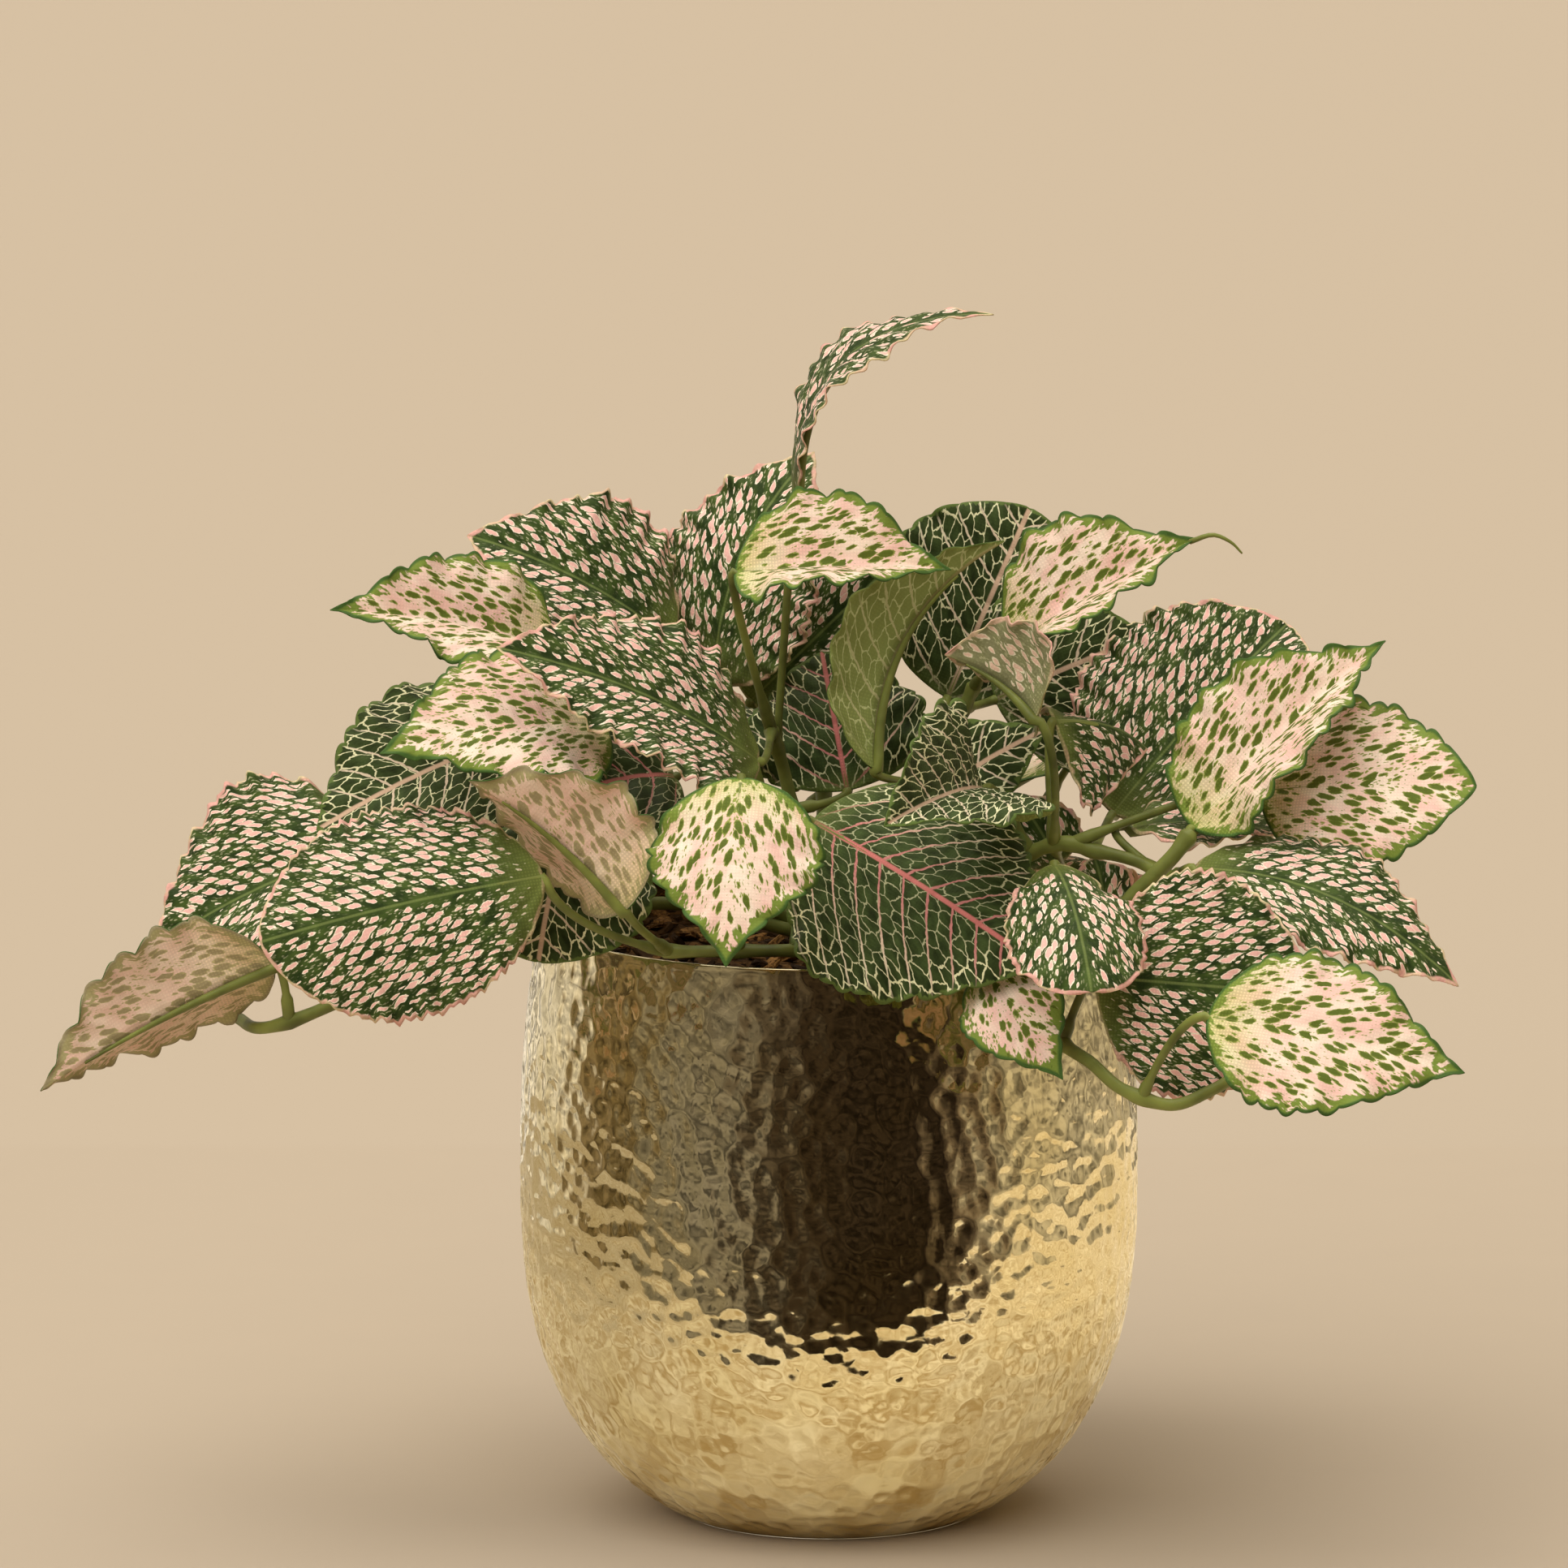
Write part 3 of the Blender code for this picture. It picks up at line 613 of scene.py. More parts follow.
def half_width(share, width, widest):
    share = np.clip(share, 0, 1)
    tip_power = BASE_POWER * (1 - widest) / widest
    most = widest**BASE_POWER * (1 - widest) ** tip_power
    return width / 2 * share**BASE_POWER * (1 - share) ** tip_power / most


def press_blade(leaf, blank, seed, rosy):
    """Bends a copy of the flat blank to this leaf, and writes where the print falls on it."""
    pitch, depth, leaning, relief, ruffle, sweep = CUTS[leaf[0]]
    sheet = points_of(blank.data)
    share = np.clip(sheet[:, 0] + 0.5, 0.0015, 0.9985)
    across = np.sign(sheet[:, 1]) * (1 - (1 - np.abs(sheet[:, 1]) * 2) ** 1.4)
    length = np.linalg.norm(np.subtract(leaf[2], leaf[1])) * 1.03
    half = half_width(share, leaf[3], leaf[7])
    outer, half_cut = np.abs(across), half
    if leaf[0] == "pale" and leaf[7] < 0.4:
        drawn_in = 1 - DRIP_TIP * np.clip((share - 0.55) / 0.4, 0, 1) ** 1.5
        across = across * drawn_in
        half_cut = half * drawn_in
    x, y = share * length, across * half
    rows = (x - sweep * np.abs(y) - VEIN_CURL * y**2) / ROW_PITCH + FIRST_ROW

    # The press leaves a furrow over each side vein, a swell between, and a groove over the rib.
    vein = np.abs(rows / 2 - np.round(rows / 2)) * 2
    swell = np.sin(np.pi / 2 * np.minimum(vein * 1.25, 1)) - 0.5
    calm = np.clip(np.abs(y) / 3, 0, 1) * (1 - outer**6)
    lift = relief * swell * calm - RIB_GROOVE * np.exp(-((y / 1.3) ** 2)) * np.clip(1.1 - share, 0, 1)
    ripple = np.sin(2 * np.pi * x / (pitch * 2.1) + seed * 1.7 + np.where(y > 0, 1.9, 0))
    ripple = ripple + 0.6 * np.sin(2 * np.pi * x / (pitch * 3.7) + seed * 2.3)
    ends = np.minimum(1, 7 * share) * np.minimum(1, 5 * (1 - share))
    breadth = min(leaf[3] / 50, 1.1)
    lift += ruffle * breadth * ripple * outer**4 * ends
    sway = np.sin(2 * np.pi * (1.6 * share + seed * 0.37) + np.where(y > 0, 1.3, 0))
    lift += BLADE_SWAY * sway * across**2 * ends

    # Teeth lean towards the tip on the spotted cloth, and are round scallops on the others.
    beat = x / pitch + seed * 0.37 + np.where(y > 0, 0.45, 0)
    uneven = depth * breadth * (0.6 + 0.7 * np.abs(np.sin(np.floor(beat) * 12.9 + seed * 4.7)))
    beat = beat % 1
    leant = np.where(beat < TOOTH_RISE, beat / TOOTH_RISE, (1 - beat) / TOOTH_FALL)
    shape = leant if leaning else np.sin(np.pi * beat) ** 0.7
    tooth = uneven * (shape - 0.4) * np.clip((outer - 0.7) / 0.3, 0, 1) ** 2 * ends

    blade = blank.copy()
    blade.data = blank.data.copy()
    bpy.context.collection.objects.link(blade)
    set_points(blade.data, on_blade(leaf, share, across, lift, tooth) * MM)

    shares = np.linspace(0, 1, EDGE_SAMPLES)
    slant = np.gradient(half_width(shares, leaf[3], leaf[7]), length / (EDGE_SAMPLES - 1))
    lean = np.interp(share, shares, slant)
    edge = (1 - outer) * half_cut / np.hypot(1, np.clip(lean, -4, 4))
    run = y * np.hypot(1, sweep + VEIN_CURL * np.abs(y)) * 1.2 / ROW_PITCH
    cells = np.stack([rows + seed * 8, run + seed * 10.6, rows], 1)
    marks = np.stack([edge, np.abs(y), share], 1)
    for name, values in (("cells", cells), ("marks", marks)):
        data = blade.data.attributes.new(name, "FLOAT_VECTOR", "POINT").data
        data.foreach_set("vector", values.astype(np.float32).ravel())
    rose = blade.data.attributes.new("rose", "FLOAT", "POINT").data
    rose.foreach_set("value", [float(rosy)] * len(sheet))
    corner = np.empty(len(blade.data.loops), np.int32)
    blade.data.loops.foreach_get("vertex_index", corner)
    flat = np.stack([x / 100, y / 100 + 0.5], 1)[corner]
    blade.data.uv_layers["cloth"].data.foreach_set("uv", flat.astype(np.float32).ravel())
    return blade


def stalk_and_rib(name, leaf):
    """The moulded rib under the blade, running on behind it as the stalk, to the stem."""
    base, bow, _, up = blade_frame(leaf)
    line = stem_lines[leaf[8]]
    foot = line[round(leaf[9] * (STEM_POINTS - 1))]
    start = Vector(base)
    bend = start - Vector(unit(bow - base)) * leaf[10] - Vector((0, 0, leaf[11]))
    route, radii = [], []
    length = (start - bend).length + (bend - foot).length
    for k in range(STALK_POINTS):
        f = k / STALK_POINTS
        route.append(foot * (1 - f) ** 2 + bend * (2 * f * (1 - f)) + start * f**2)
        collar = 1.55 if f * length < 4.5 else 1.0
        radii.append(STALK_RADIUS * collar * (1 + 0.25 * f**4))
    shares = np.linspace(0.0, RIB_REACH, RIB_POINTS)
    drop = -(CLOTH / 2 + 1.05 - 0.9 * shares) - RIB_GROOVE * np.clip(1.1 - shares, 0, 1)
    for place, share in zip(on_blade(leaf, shares, np.zeros(RIB_POINTS), drop), shares):
        route.append(Vector(place))
        radii.append(STALK_RADIUS * (1.3 - 1.05 * share / RIB_REACH) + 0.08)
    return rod(name, route, radii, sides=10)


# Each print below gives its ground colour, then its inks in the order that they go on, each with
# where it covers.


def spotted_print(tree, cells, marks):
    """Rows of pink blotches ringed in cream, on dark green, with finer marks out to a pale edge."""
    edge, beside_rib, share = (add(tree, "SeparateXYZ", {"Vector": marks}, output=k) for k in range(3))
    tremble = add(tree, "TexNoise", {"Vector": cells, "Scale": 1.7, "Detail": 3.0}, output="Color")
    shaken = add(tree, "VectorMath", {0: tremble, 1: (0.45, 0.5, 0.0), 2: cells}, operation="MULTIPLY_ADD")
    drawn = add(tree, "VectorMath", {0: shaken, 1: (0.92, 1.08, 0.0)}, operation="MULTIPLY")
    blotches = {"Vector": drawn, "Scale": 1.0, "Randomness": 0.66, "Exponent": 2.8}
    spots = add(tree, "TexVoronoi", blotches, "Distance", voronoi_dimensions="2D", distance="MINKOWSKI")
    luck = add(tree, "TexVoronoi", blotches, "Color", voronoi_dimensions="2D", distance="MINKOWSKI")
    luck = add(tree, "SeparateColor", {"Color": luck})
    sizes = add(tree, "MapRange", {"Value": luck, "From Max": 0.75, "To Min": 0.13, "To Max": 0.44})
    clear = add(tree, "MapRange", {"Value": beside_rib, "From Min": 0.7, "From Max": 2.4})
    at_base = add(tree, "MapRange", {"Value": share, "From Min": 0.03, "From Max": 0.2})
    clear = add(tree, "Math", {0: clear, 1: at_base}, operation="MULTIPLY")
    near_edge = add(tree, "MapRange", {"Value": edge, "From Min": 1.0, "From Max": 6.0, "To Min": 0.7})
    sizes = add(tree, "Math", {0: sizes, 1: near_edge}, operation="MULTIPLY")
    sizes = add(tree, "Math", {0: sizes, 1: clear}, operation="MULTIPLY")
    inside = add(tree, "Math", {0: sizes, 1: spots}, operation="SUBTRACT")
    # The cloth keeps a dark line between one row and the next, over each vein.
    in_row = add(tree, "Math", {0: add(tree, "SeparateXYZ", {"Vector": drawn}), 1: 0.17})
    in_row = add(tree, "Math", {0: in_row, 1: 0.5}, operation="PINGPONG")
    in_row = add(tree, "Math", {0: in_row, 1: 0.1}, operation="SUBTRACT")
    inside = add(tree, "Math", {0: inside, 1: in_row}, operation="MINIMUM")
    ring = add(tree, "MapRange", {"Value": inside, "From Min": -0.02, "From Max": 0.01})
    core = add(tree, "MapRange", {"Value": inside, "From Min": 0.045, "From Max": 0.085})
    speckles = {"Vector": drawn, "Scale": 2.4, "Randomness": 0.9}
    dots = add(tree, "TexVoronoi", speckles, "Distance", voronoi_dimensions="2D")
    dotting = add(tree, "MapRange", {"Value": dots, "From Min": 0.24, "From Max": 0.18})
    dotting = add(tree, "Math", {0: dotting, 1: clear}, operation="MULTIPLY")
    field = add(tree, "TexNoise", {"Vector": cells, "Scale": 0.7, "Detail": 3.0})
    field = add(tree, "MapRange", {"Value": field, "From Min": 0.35, "From Max": 0.65})
    dotting = add(tree, "Math", {0: dotting, 1: field}, operation="MULTIPLY")
    dotting = add(tree, "Math", {0: dotting, 1: 0.8}, operation="MULTIPLY")
    ground = {"Factor": field, "A": linear("#27361A"), "B": linear("#455728")}
    ground = add(tree, "Mix", ground, output=2, data_type="RGBA")
    hem_tone = add(tree, "TexNoise", {"Vector": cells, "Scale": 0.45})
    hem_tone = add(tree, "MapRange", {"Value": hem_tone, "From Min": 0.42, "From Max": 0.62})
    hem = add(tree, "MapRange", {"Value": hem_tone, "To Min": 1.25, "To Max": 0.55})
    hem = add(tree, "Math", {0: hem, 1: edge}, operation="SUBTRACT")
    hem = add(tree, "MapRange", {"Value": hem, "From Min": -0.1, "From Max": 0.35})
    hem_ink = {"Factor": hem_tone, "A": linear("#DCA69A"), "B": linear("#D8C79C")}
    hem_ink = add(tree, "Mix", hem_ink, output=2, data_type="RGBA")
    rib = add(tree, "MapRange", {"Value": beside_rib, "From Min": 0.55, "From Max": 0.2, "To Max": 0.4})
    young = add(tree, "MapRange", {"Value": share, "From Min": 0.2, "From Max": 0.02, "To Max": 0.8})
    return ground, [
        (dotting, linear("#C3C09A")),
        (ring, linear("#F6E8D0")),
        (core, linear("#EDB9AE")),
        (hem, hem_ink),
        (rib, linear("#8C9A5A")),
        (young, linear("#6A7238")),
    ]


def pale_print(tree, cells, marks):
    """Green blotches and specks on pale pink, inside an uneven green border."""
    edge, _, share = (add(tree, "SeparateXYZ", {"Vector": marks}, output=k) for k in range(3))
    tremble = add(tree, "TexNoise", {"Vector": cells, "Scale": 2.6, "Detail": 2.0}, output="Color")
    shaken = add(tree, "VectorMath", {0: tremble, 1: (0.4, 0.4, 0.0), 2: cells}, operation="MULTIPLY_ADD")
    drawn = add(tree, "VectorMath", {0: shaken, 1: (0.9, 0.98, 0.0)}, operation="MULTIPLY")
    blotches = {"Vector": drawn, "Scale": 1.0, "Randomness": 0.85}
    blots = add(tree, "TexVoronoi", blotches, "Distance", voronoi_dimensions="2D")
    luck = add(tree, "TexVoronoi", blotches, "Color", voronoi_dimensions="2D")
    luck = add(tree, "SeparateColor", {"Color": luck})
    sizes = {"Value": luck, "From Min": 0.1, "From Max": 0.8, "To Min": 0.14, "To Max": 0.46}
    sizes = add(tree, "MapRange", sizes)
    well_in = {"Value": edge, "From Min": 1.5, "From Max": 9.0, "To Min": 0.7, "To Max": 1.1}
    well_in = add(tree, "MapRange", well_in)
    sizes = add(tree, "Math", {0: sizes, 1: well_in}, operation="MULTIPLY")
    inside = add(tree, "Math", {0: sizes, 1: blots}, operation="SUBTRACT")
    blotch = add(tree, "MapRange", {"Value": inside, "From Min": -0.01, "From Max": 0.05})
    deep = add(tree, "MapRange", {"Value": inside, "From Min": 0.05, "From Max": 0.15})
    speckles = {"Vector": drawn, "Scale": 2.3, "Randomness": 1.0}
    specks = add(tree, "TexVoronoi", speckles, "Distance", voronoi_dimensions="2D")
    crowd = add(tree, "TexNoise", {"Vector": cells, "Scale": 0.45, "Detail": 1.0})
    reach = {"Value": crowd, "From Min": 0.42, "From Max": 0.7, "To Min": 0.05, "To Max": 0.3}
    reach = add(tree, "MapRange", reach)
    speck = add(tree, "Math", {0: reach, 1: specks}, operation="SUBTRACT")
    speck = add(tree, "MapRange", {"Value": speck, "From Min": -0.02, "From Max": 0.06})
    spotting = add(tree, "Math", {0: blotch, 1: speck}, operation="MAXIMUM")
    blush = add(tree, "TexNoise", {"Vector": cells, "Scale": 0.3, "Detail": 2.0})
    blush = add(tree, "MapRange", {"Value": blush, "From Min": 0.35, "From Max": 0.65})
    ground = {"Factor": blush, "A": linear("#EFDBC7"), "B": linear("#E8BDB0")}
    ground = add(tree, "Mix", ground, output=2, data_type="RGBA")
    base_wash = add(tree, "MapRange", {"Value": share, "From Min": 0.3, "From Max": 0.02, "To Max": 0.8})
    green = {"Factor": deep, "A": linear("#8C9548"), "B": linear("#586527")}
    green = add(tree, "Mix", green, output=2, data_type="RGBA")
    scallop = add(tree, "TexNoise", {"Vector": cells, "Scale": 1.3, "Detail": 2.0})
    border = {"Value": scallop, "From Min": 0.36, "From Max": 0.66, "To Min": 0.9, "To Max": 4.6}
    border = add(tree, "Math", {0: add(tree, "MapRange", border), 1: edge}, operation="SUBTRACT")
    border = add(tree, "MapRange", {"Value": border, "From Min": -0.2, "From Max": 0.5})
    hem = add(tree, "MapRange", {"Value": edge, "From Min": 1.1, "From Max": 0.5})
    return ground, [
        (base_wash, linear("#B3B266")),
        (spotting, green),
        (border, linear("#74863A")),
        (hem, linear("#44602E")),
    ]


def netted_print(tree, cells, marks):
    """A fine cream net between side veins, on very dark green. Rosy leaves have pinker side veins."""
    edge, beside_rib, share = (add(tree, "SeparateXYZ", {"Vector": marks}, output=k) for k in range(3))
    rose = add(tree, "Attribute", output="Fac", attribute_name="rose")
    tremble = add(tree, "TexNoise", {"Vector": cells, "Scale": 1.5, "Detail": 2.0}, output="Color")
    shaken = add(tree, "VectorMath", {0: tremble, 1: (0.5, 0.6, 0.0), 2: cells}, operation="MULTIPLY_ADD")
    ladder = add(tree, "VectorMath", {0: shaken, 1: (0.8, 0.85, 0.0)}, operation="MULTIPLY")
    meshes = {"Vector": ladder, "Scale": 1.0, "Randomness": 0.8}
    net = add(tree, "TexVoronoi", meshes, "Distance", voronoi_dimensions="2D", feature="DISTANCE_TO_EDGE")
    thick = {"Value": edge, "From Min": 12.0, "From Max": 2.0, "To Min": 0.034, "To Max": 0.055}
    thick = add(tree, "MapRange", thick)
    net = add(tree, "Math", {0: thick, 1: net}, operation="SUBTRACT")
    net = add(tree, "MapRange", {"Value": net, "From Min": -0.012, "From Max": 0.012})
    inland = add(tree, "MapRange", {"Value": edge, "From Min": 4.0, "From Max": 12.0})
    faint = add(tree, "Math", {0: inland, 1: rose}, operation="MULTIPLY")
    faint = add(tree, "MapRange", {"Value": faint, "To Min": 1.0, "To Max": 0.5})
    net = add(tree, "Math", {0: net, 1: faint}, operation="MULTIPLY")
    rows = add(tree, "SeparateXYZ", {"Vector": cells}, output="Z")
    drift = add(tree, "SeparateXYZ", {"Vector": tremble})
    rows = add(tree, "Math", {0: drift, 1: 0.3, 2: rows}, operation="MULTIPLY_ADD")
    off_vein = add(tree, "Math", {0: add(tree, "Math", {0: rows, 1: -0.15}), 1: 1.0}, operation="PINGPONG")
    side_vein = add(tree, "MapRange", {"Value": off_vein, "From Min": 0.105, "From Max": 0.06})
    inner = add(tree, "MapRange", {"Value": edge, "From Min": 1.5, "From Max": 4.0, "To Min": 0.3})
    side_vein = add(tree, "Math", {0: side_vein, 1: inner}, operation="MULTIPLY")
    rib = add(tree, "MapRange", {"Value": beside_rib, "From Min": 0.85, "From Max": 0.5})
    field = add(tree, "TexNoise", {"Vector": cells, "Scale": 0.8, "Detail": 3.0})
    field = add(tree, "MapRange", {"Value": field, "From Min": 0.3, "From Max": 0.7})
    ground = {"Factor": field, "A": linear("#222B16"), "B": linear("#3F4E2A")}
    ground = add(tree, "Mix", ground, output=2, data_type="RGBA")
    pinkness = {"Value": beside_rib, "From Min": 24.0, "From Max": 6.0, "To Min": 0.1}
    pinkness = add(tree, "MapRange", pinkness)
    rosy = add(tree, "MapRange", {"Value": rose, "To Min": 0.25, "To Max": 1.0})
    pinkness = add(tree, "Math", {0: pinkness, 1: rosy}, operation="MULTIPLY")
    vein_ink = {"Factor": pinkness, "A": linear("#DDD3B4"), "B": linear("#BE7A76")}
    vein_ink = add(tree, "Mix", vein_ink, output=2, data_type="RGBA")
    rib_ink = {"Factor": rosy, "A": linear("#CDB99A"), "B": linear("#C0716C")}
    rib_ink = add(tree, "Mix", rib_ink, output=2, data_type="RGBA")
    bumps = add(tree, "TexNoise", {"Vector": cells, "Scale": 1.5})
    bumps = {"Value": bumps, "From Min": 0.35, "From Max": 0.65, "To Min": 0.3, "To Max": 1.6}
    bumps = add(tree, "MapRange", bumps)
    hem = add(tree, "Math", {0: bumps, 1: edge}, operation="SUBTRACT")
    hem = add(tree, "MapRange", {"Value": hem, "From Min": -0.1, "From Max": 0.3})
    young = add(tree, "MapRange", {"Value": share, "From Min": 0.14, "From Max": 0.01, "To Max": 0.8})
    return ground, [
        (net, linear("#DCD9AE")),
        (side_vein, vein_ink),
        (rib, rib_ink),
        (hem, linear("#586A35")),
        (young, linear("#5A6636")),
    ]


def printed_cloth(name, print_on, under_tint=None, under_share=0.0):
    """Woven polyester with a print on it. Its underside shows the print through, washed by a tint."""
    material, tree, shader = new_material(name, Specular_IOR_Level=0.4, Specular_Tint=linear("#B4BE84"))
    cells = add(tree, "Attribute", output="Vector", attribute_name="cells")
    marks = add(tree, "Attribute", output="Vector", attribute_name="marks")
    colour, inks = print_on(tree, cells, marks)
    if under_tint:
        inks.append((under_share, linear(under_tint)))
    for cover, ink in inks:
        colour = add(tree, "Mix", {"Factor": cover, "A": colour, "B": ink}, output=2, data_type="RGBA")
    # Threads are 0.45 mm apart, too fine to show, so the weave is drawn at twice that. One unit of
    # the cloth's map is 100 mm, and a wave of scale 1 repeats after WAVE_PERIOD of a unit.
    place = add(tree, "UVMap", uv_map="cloth")
    wave = WAVE_PERIOD / (WEAVE_PITCH / 100)
    warp = add(tree, "TexWave", {"Vector": place, "Scale": wave}, output="Fac", bands_direction="X")
    weft = add(tree, "TexWave", {"Vector": place, "Scale": wave}, output="Fac", bands_direction="Y")
    weave = add(tree, "Math", {0: warp, 1: weft}, operation="MULTIPLY")
    # Painted sheen: the colour is made up to half as bright again where the threads of the weave cross near
    # the blade's base, and a tenth brighter further out.
    share = add(tree, "SeparateXYZ", {"Vector": marks}, output="Z")
    sheen_near_base = {"Value": share, "From Min": 0.4, "From Max": 0.0, "To Min": 0.1, "To Max": 0.5}
    sheen_near_base = add(tree, "MapRange", sheen_near_base)
    grain = add(tree, "Math", {0: weave, 1: sheen_near_base}, operation="MULTIPLY")
    lit = add(tree, "MapRange", {"Value": grain, "From Max": 0.5, "To Min": 1.0, "To Max": 1.5})
    colour = add(tree, "VectorMath", {0: colour, "Scale": lit}, operation="SCALE")
    gloss = add(tree, "MapRange", {"Value": weave, "To Min": 0.5, "To Max": 0.68})
    bump = add(tree, "Bump", {"Height": weave, "Strength": 0.35, "Distance": 0.00012})
    tree.links.new(colour, shader.inputs["Base Color"])
    tree.links.new(gloss, shader.inputs["Roughness"])
    tree.links.new(bump, shader.inputs["Normal"])
    return material


cloths = {
    "spotted": (
        printed_cloth("polyester_printed_spotted", spotted_print),
        printed_cloth("polyester_underside_spotted", spotted_print, "#A09A74", 0.5),
    ),
    "pale": (
        printed_cloth("polyester_printed_pale", pale_print),
        printed_cloth("polyester_underside_pale", pale_print, "#CDB093", 0.45),
    ),
    "netted": (
        printed_cloth("polyester_printed_netted", netted_print),
        printed_cloth("polyester_underside_netted", netted_print, "#A3AC62", 0.62),
    ),
}

deselect()
bpy.ops.mesh.primitive_grid_add(x_subdivisions=LENGTH_STEPS, y_subdivisions=WIDTH_STEPS, size=1)
blank = bpy.context.object
bpy.ops.object.mode_set(mode="EDIT")
bpy.ops.mesh.select_all(action="SELECT")
bpy.ops.mesh.flip_normals()
bpy.ops.object.mode_set(mode="OBJECT")
while blank.data.uv_layers:
    blank.data.uv_layers.remove(blank.data.uv_layers[0])
blank.data.uv_layers.new(name="cloth")

# The netted leaves whose side veins are printed pink rather than cream.
ROSY = ("netted_leaf_03", "netted_leaf_04", "netted_leaf_09")

# On one leaf the rib was left long, and curls on past the tip.
LONG_RIBBED = "pale_leaf_07"
CURL = [(98, -40, 278), (104, -41, 280), (109, -41, 278), (112, -41, 275)]
CURL_POINTS = 12
CURL_RADIUS = 0.85
CURL_THINNING = 0.05

leaves_made = dict.fromkeys(cloths, 0)
for seed, leaf in enumerate(LEAVES):
    leaves_made[leaf[0]] += 1
    node_name = f"{leaf[0]}_leaf_{leaves_made[leaf[0]]:02d}"
    blade = press_blade(leaf, blank, seed, node_name in ROSY)
    blade.name = node_name + "_blade"
    for material in (*cloths[leaf[0]], stem_plastic):
        blade.data.materials.append(material)
    deselect()
    blade.select_set(True)
    bpy.context.view_layer.objects.active = blade
    bpy.ops.object.shade_smooth()
    body = blade.modifiers.new("Cloth", "SOLIDIFY")
    body.thickness = CLOTH * MM
    body.offset = 0
    body.material_offset = 1
    body.material_offset_rim = 0
    bpy.ops.object.modifier_apply(modifier=body.name)
    moulded = [stalk_and_rib(node_name + "_rib", leaf)]
    if node_name == LONG_RIBBED:
        curl = smooth_line([Vector(point) for point in CURL], CURL_POINTS)
        thinning = [CURL_RADIUS - CURL_THINNING * k for k in range(CURL_POINTS)]
        moulded.append(rod(node_name + "_thread", curl, thinning, sides=6))
    for piece in moulded:
        piece.data.materials.clear()
        for material in (*cloths[leaf[0]], stem_plastic):
            piece.data.materials.append(material)
        piece.data.polygons.foreach_set("material_index", [2] * len(piece.data.polygons))
    deselect()
    for piece in moulded:
        piece.select_set(True)
    blade.select_set(True)
    bpy.context.view_layer.objects.active = blade
    bpy.ops.object.join()
    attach(blade, "root")
    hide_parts(node_name)
bpy.data.objects.remove(blank)


# ------------------------------------------------------------------ the studio
# A plain pale floor that runs back out of sight, and one large soft light high on the left. What
# the polished pot mirrors isn't plain: a mottled table top that only reflections see, and an
# uneven room that is darker in front and bright overhead.

FRONT_OF_TABLE = -0.19
FLOOR_REACH = 30.0
TABLE_REACH = 0.5
TABLE_LIFT = 0.0002
ROOM_STRENGTH = 0.92
OVERHEAD = (2.2, 2.1, 1.95, 1.0)
KEY_STRENGTH = 2.5
KEY_SPREAD = 75
KEY_HEADING = (0.4, 0.7, -1.0)
LENS = 261
CAMERA_PLACE = (-0.0125, -3.099, 0.734)
CAMERA_DIP = 9.7

paper, tree, shader = new_material("paper_matt_beige", Base_Color=linear("#B9AA96"), Roughness=0.9)
shader.inputs["Specular IOR Level"].default_value = 0.2

# The polished pot mirrors a mottled table top where the paper itself would leave it blank.
mottled, tree, shader = new_material("table_top_mottled", Roughness=0.9)
spot = add(tree, "TexCoord", output="Object")
drawn = add(tree, "VectorMath", {0: spot, 1: (1.0, 2.2, 1.0)}, operation="MULTIPLY")
patches = add(tree, "TexNoise", {"Vector": drawn, "Scale": 26.0, "Detail": 3.0, "Roughness": 0.6})
patches = add(tree, "MapRange", {"Value": patches, "From Min": 0.36, "From Max": 0.62})
patches = {"Factor": patches, "A": linear("#BDA376"), "B": linear("#F4E8CE")}
patches = add(tree, "Mix", patches, output=2, data_type="RGBA")
# Painted shade: the table top is darkened to half its brightness towards the left.
from_left = add(tree, "SeparateXYZ", {"Vector": spot})
shaded = add(tree, "MapRange", {"Value": from_left, "From Min": -0.3, "From Max": 0.02, "To Min": 0.5})
patches = add(tree, "VectorMath", {0: patches, "Scale": shaded}, operation="SCALE")
tree.links.new(patches, shader.inputs["Base Color"])
for name, across, near, far, cover, height, mirrored in (
    ("floor", FLOOR_REACH, -FLOOR_REACH, FLOOR_REACH, paper, 0.0, False),
    ("table_top_mirrored", TABLE_REACH, FRONT_OF_TABLE, TABLE_REACH, mottled, TABLE_LIFT, True),
):
    deselect()
    bpy.ops.mesh.primitive_plane_add(size=1)
    floor = bpy.context.object
    floor.name = name
    middle = [0, (near + far) / 2, height]
    set_points(floor.data, points_of(floor.data) * [2 * across, far - near, 1] + middle)
    floor.data.materials.append(cover)
    floor.visible_glossy = mirrored
    floor.visible_camera = floor.visible_diffuse = floor.visible_shadow = not mirrored

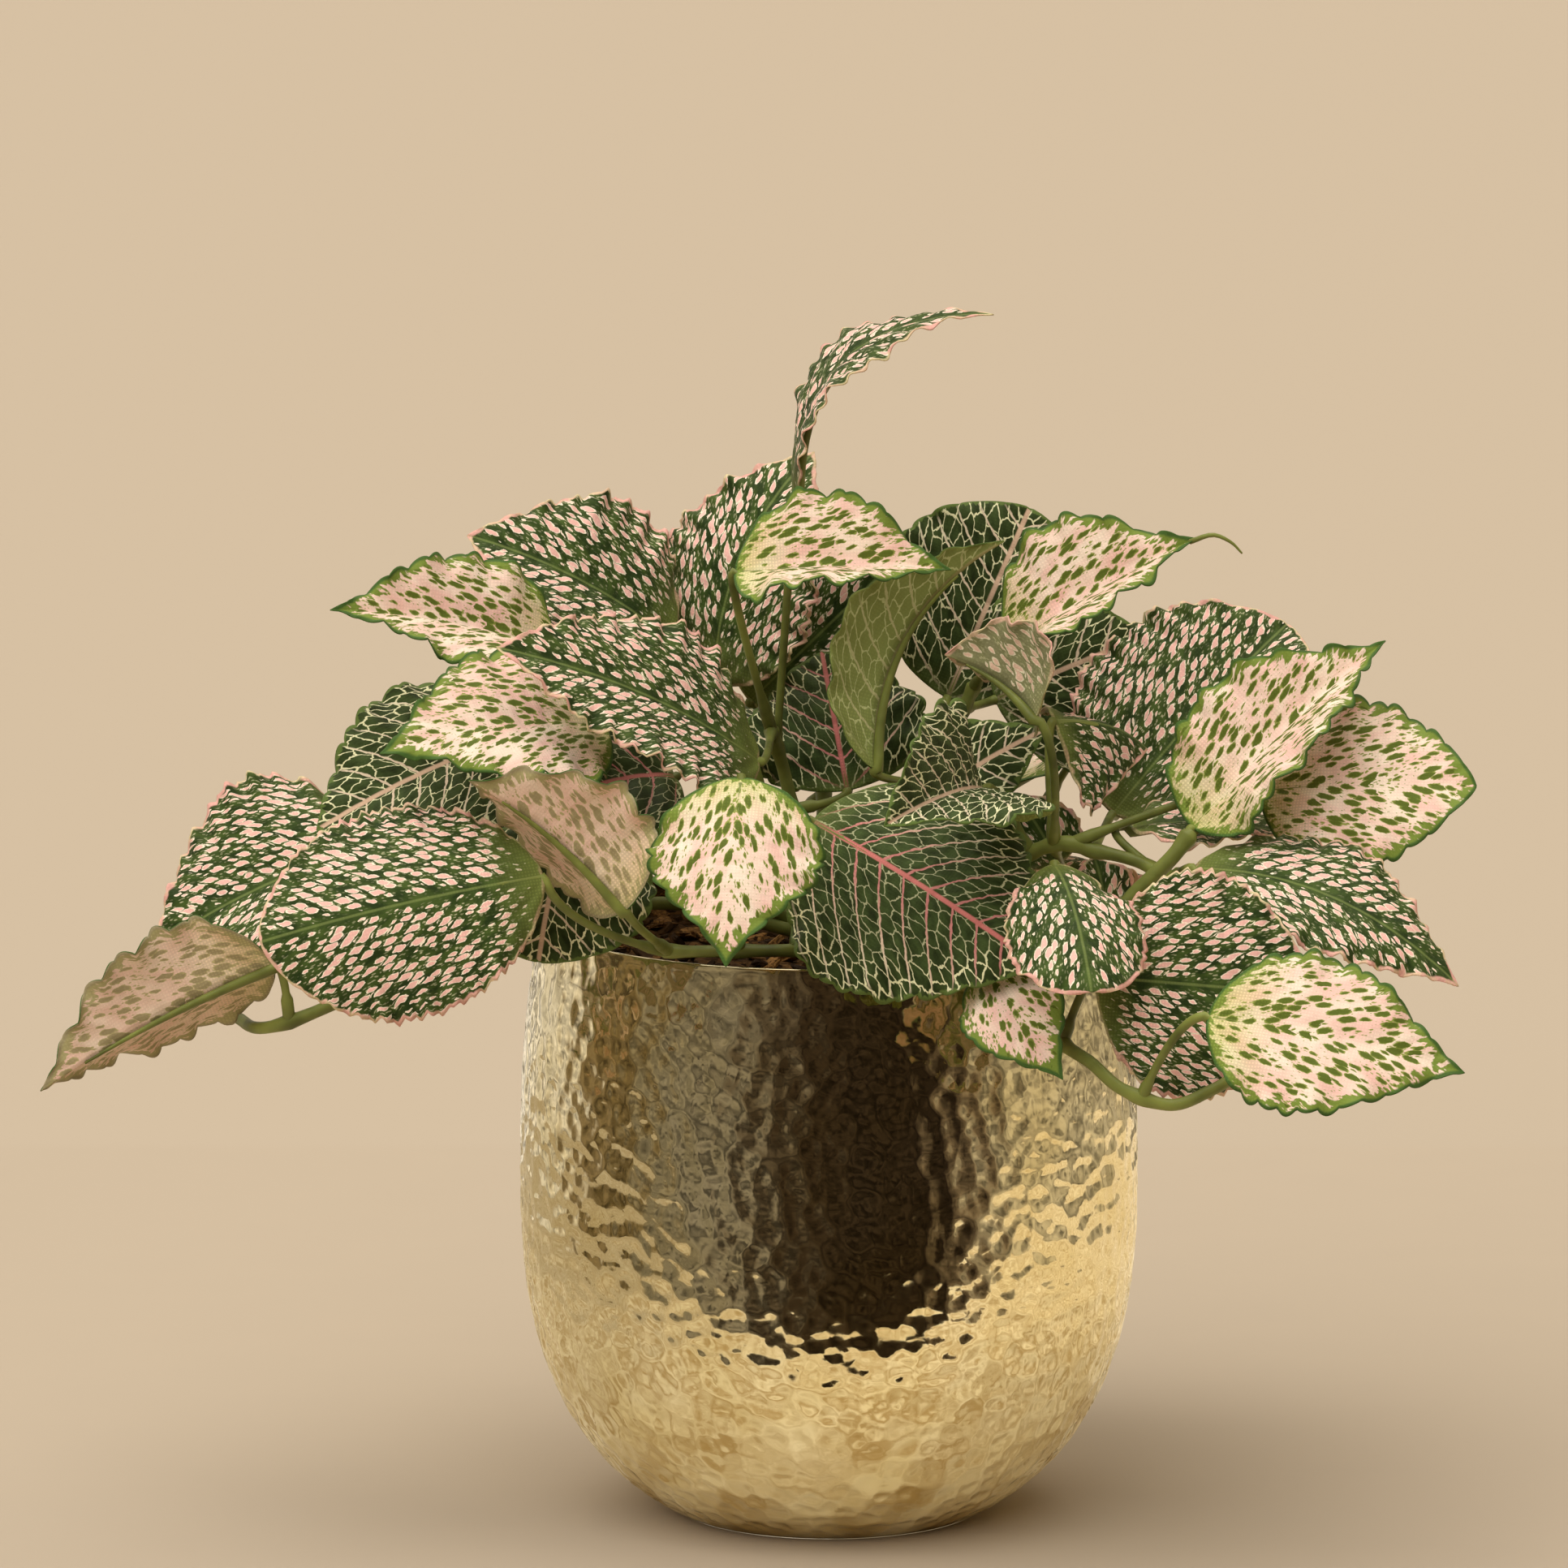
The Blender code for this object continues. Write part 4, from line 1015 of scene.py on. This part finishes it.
world = bpy.data.worlds.new("studio")
bpy.context.scene.world = world
world.use_nodes = True
tree = world.node_tree
direction = add(tree, "TexCoord", output="Generated")
east = add(tree, "SeparateXYZ", {"Vector": direction}, output="X")
north = add(tree, "SeparateXYZ", {"Vector": direction}, output="Y")
south = add(tree, "Math", {0: north, 1: -1.0}, operation="MULTIPLY")
bearing = add(tree, "Math", {0: east, 1: south}, operation="ARCTAN2")
around = add(tree, "MapRange", {"Value": bearing, "From Min": -math.pi, "From Max": math.pi})
room = add(tree, "ValToRGB", {"Fac": around})
ramp = room.node.color_ramp
ramp.elements.remove(ramp.elements[1])
ramp.elements[0].color = linear("#DCD0BE")
# What stands round the table: degrees round from the front, and its colour.
for degrees, colour in (
    (-120, "#DCD0BE"), (-106, "#7C6A4E"), (-84, "#74613F"), (-64, "#827762"), (-40, "#7C7262"),
    (-24, "#55493A"), (-6, "#32271B"), (38, "#2B2117"), (54, "#6B5A45"), (72, "#B3A488"),
):
    ramp.elements.new((degrees + 180) / 360).color = linear(colour)
# Over the whole room lie soft light and dark patches some ten degrees across.
clutter = add(tree, "TexNoise", {"Vector": direction, "Scale": 6.5, "Detail": 3.0})
clutter = {"Value": clutter, "From Min": 0.34, "From Max": 0.66, "To Min": 0.4, "To Max": 1.8}
clutter = add(tree, "MapRange", clutter)
room = add(tree, "VectorMath", {0: room, "Scale": clutter}, operation="SCALE")
overhead = add(tree, "SeparateXYZ", {"Vector": direction}, output="Z")
overhead = add(tree, "MapRange", {"Value": overhead, "From Min": 0.8, "From Max": 0.92})
room = add(tree, "Mix", {"Factor": overhead, "A": room, "B": OVERHEAD}, output=2, data_type="RGBA")
background = tree.nodes["Background"]
tree.links.new(room, background.inputs["Color"])
background.inputs["Strength"].default_value = ROOM_STRENGTH

sun = bpy.data.lights.new("soft_key", "SUN")
sun.energy = KEY_STRENGTH
sun.angle = math.radians(KEY_SPREAD)
sun.color = (1.0, 0.97, 0.92)
made = bpy.data.objects.new("soft_key", sun)
made.rotation_euler = Vector(KEY_HEADING).to_track_quat("-Z", "Y").to_euler()
made.visible_glossy = False
bpy.context.collection.objects.link(made)

bpy.context.scene.view_settings.view_transform = "Standard"

lens = bpy.data.cameras.new("camera")
lens.sensor_width = 36
lens.lens = LENS
camera = bpy.data.objects.new("camera", lens)
camera.location = CAMERA_PLACE
camera.rotation_euler = (math.radians(90 - CAMERA_DIP), 0, 0)
bpy.context.collection.objects.link(camera)
bpy.context.scene.camera = camera
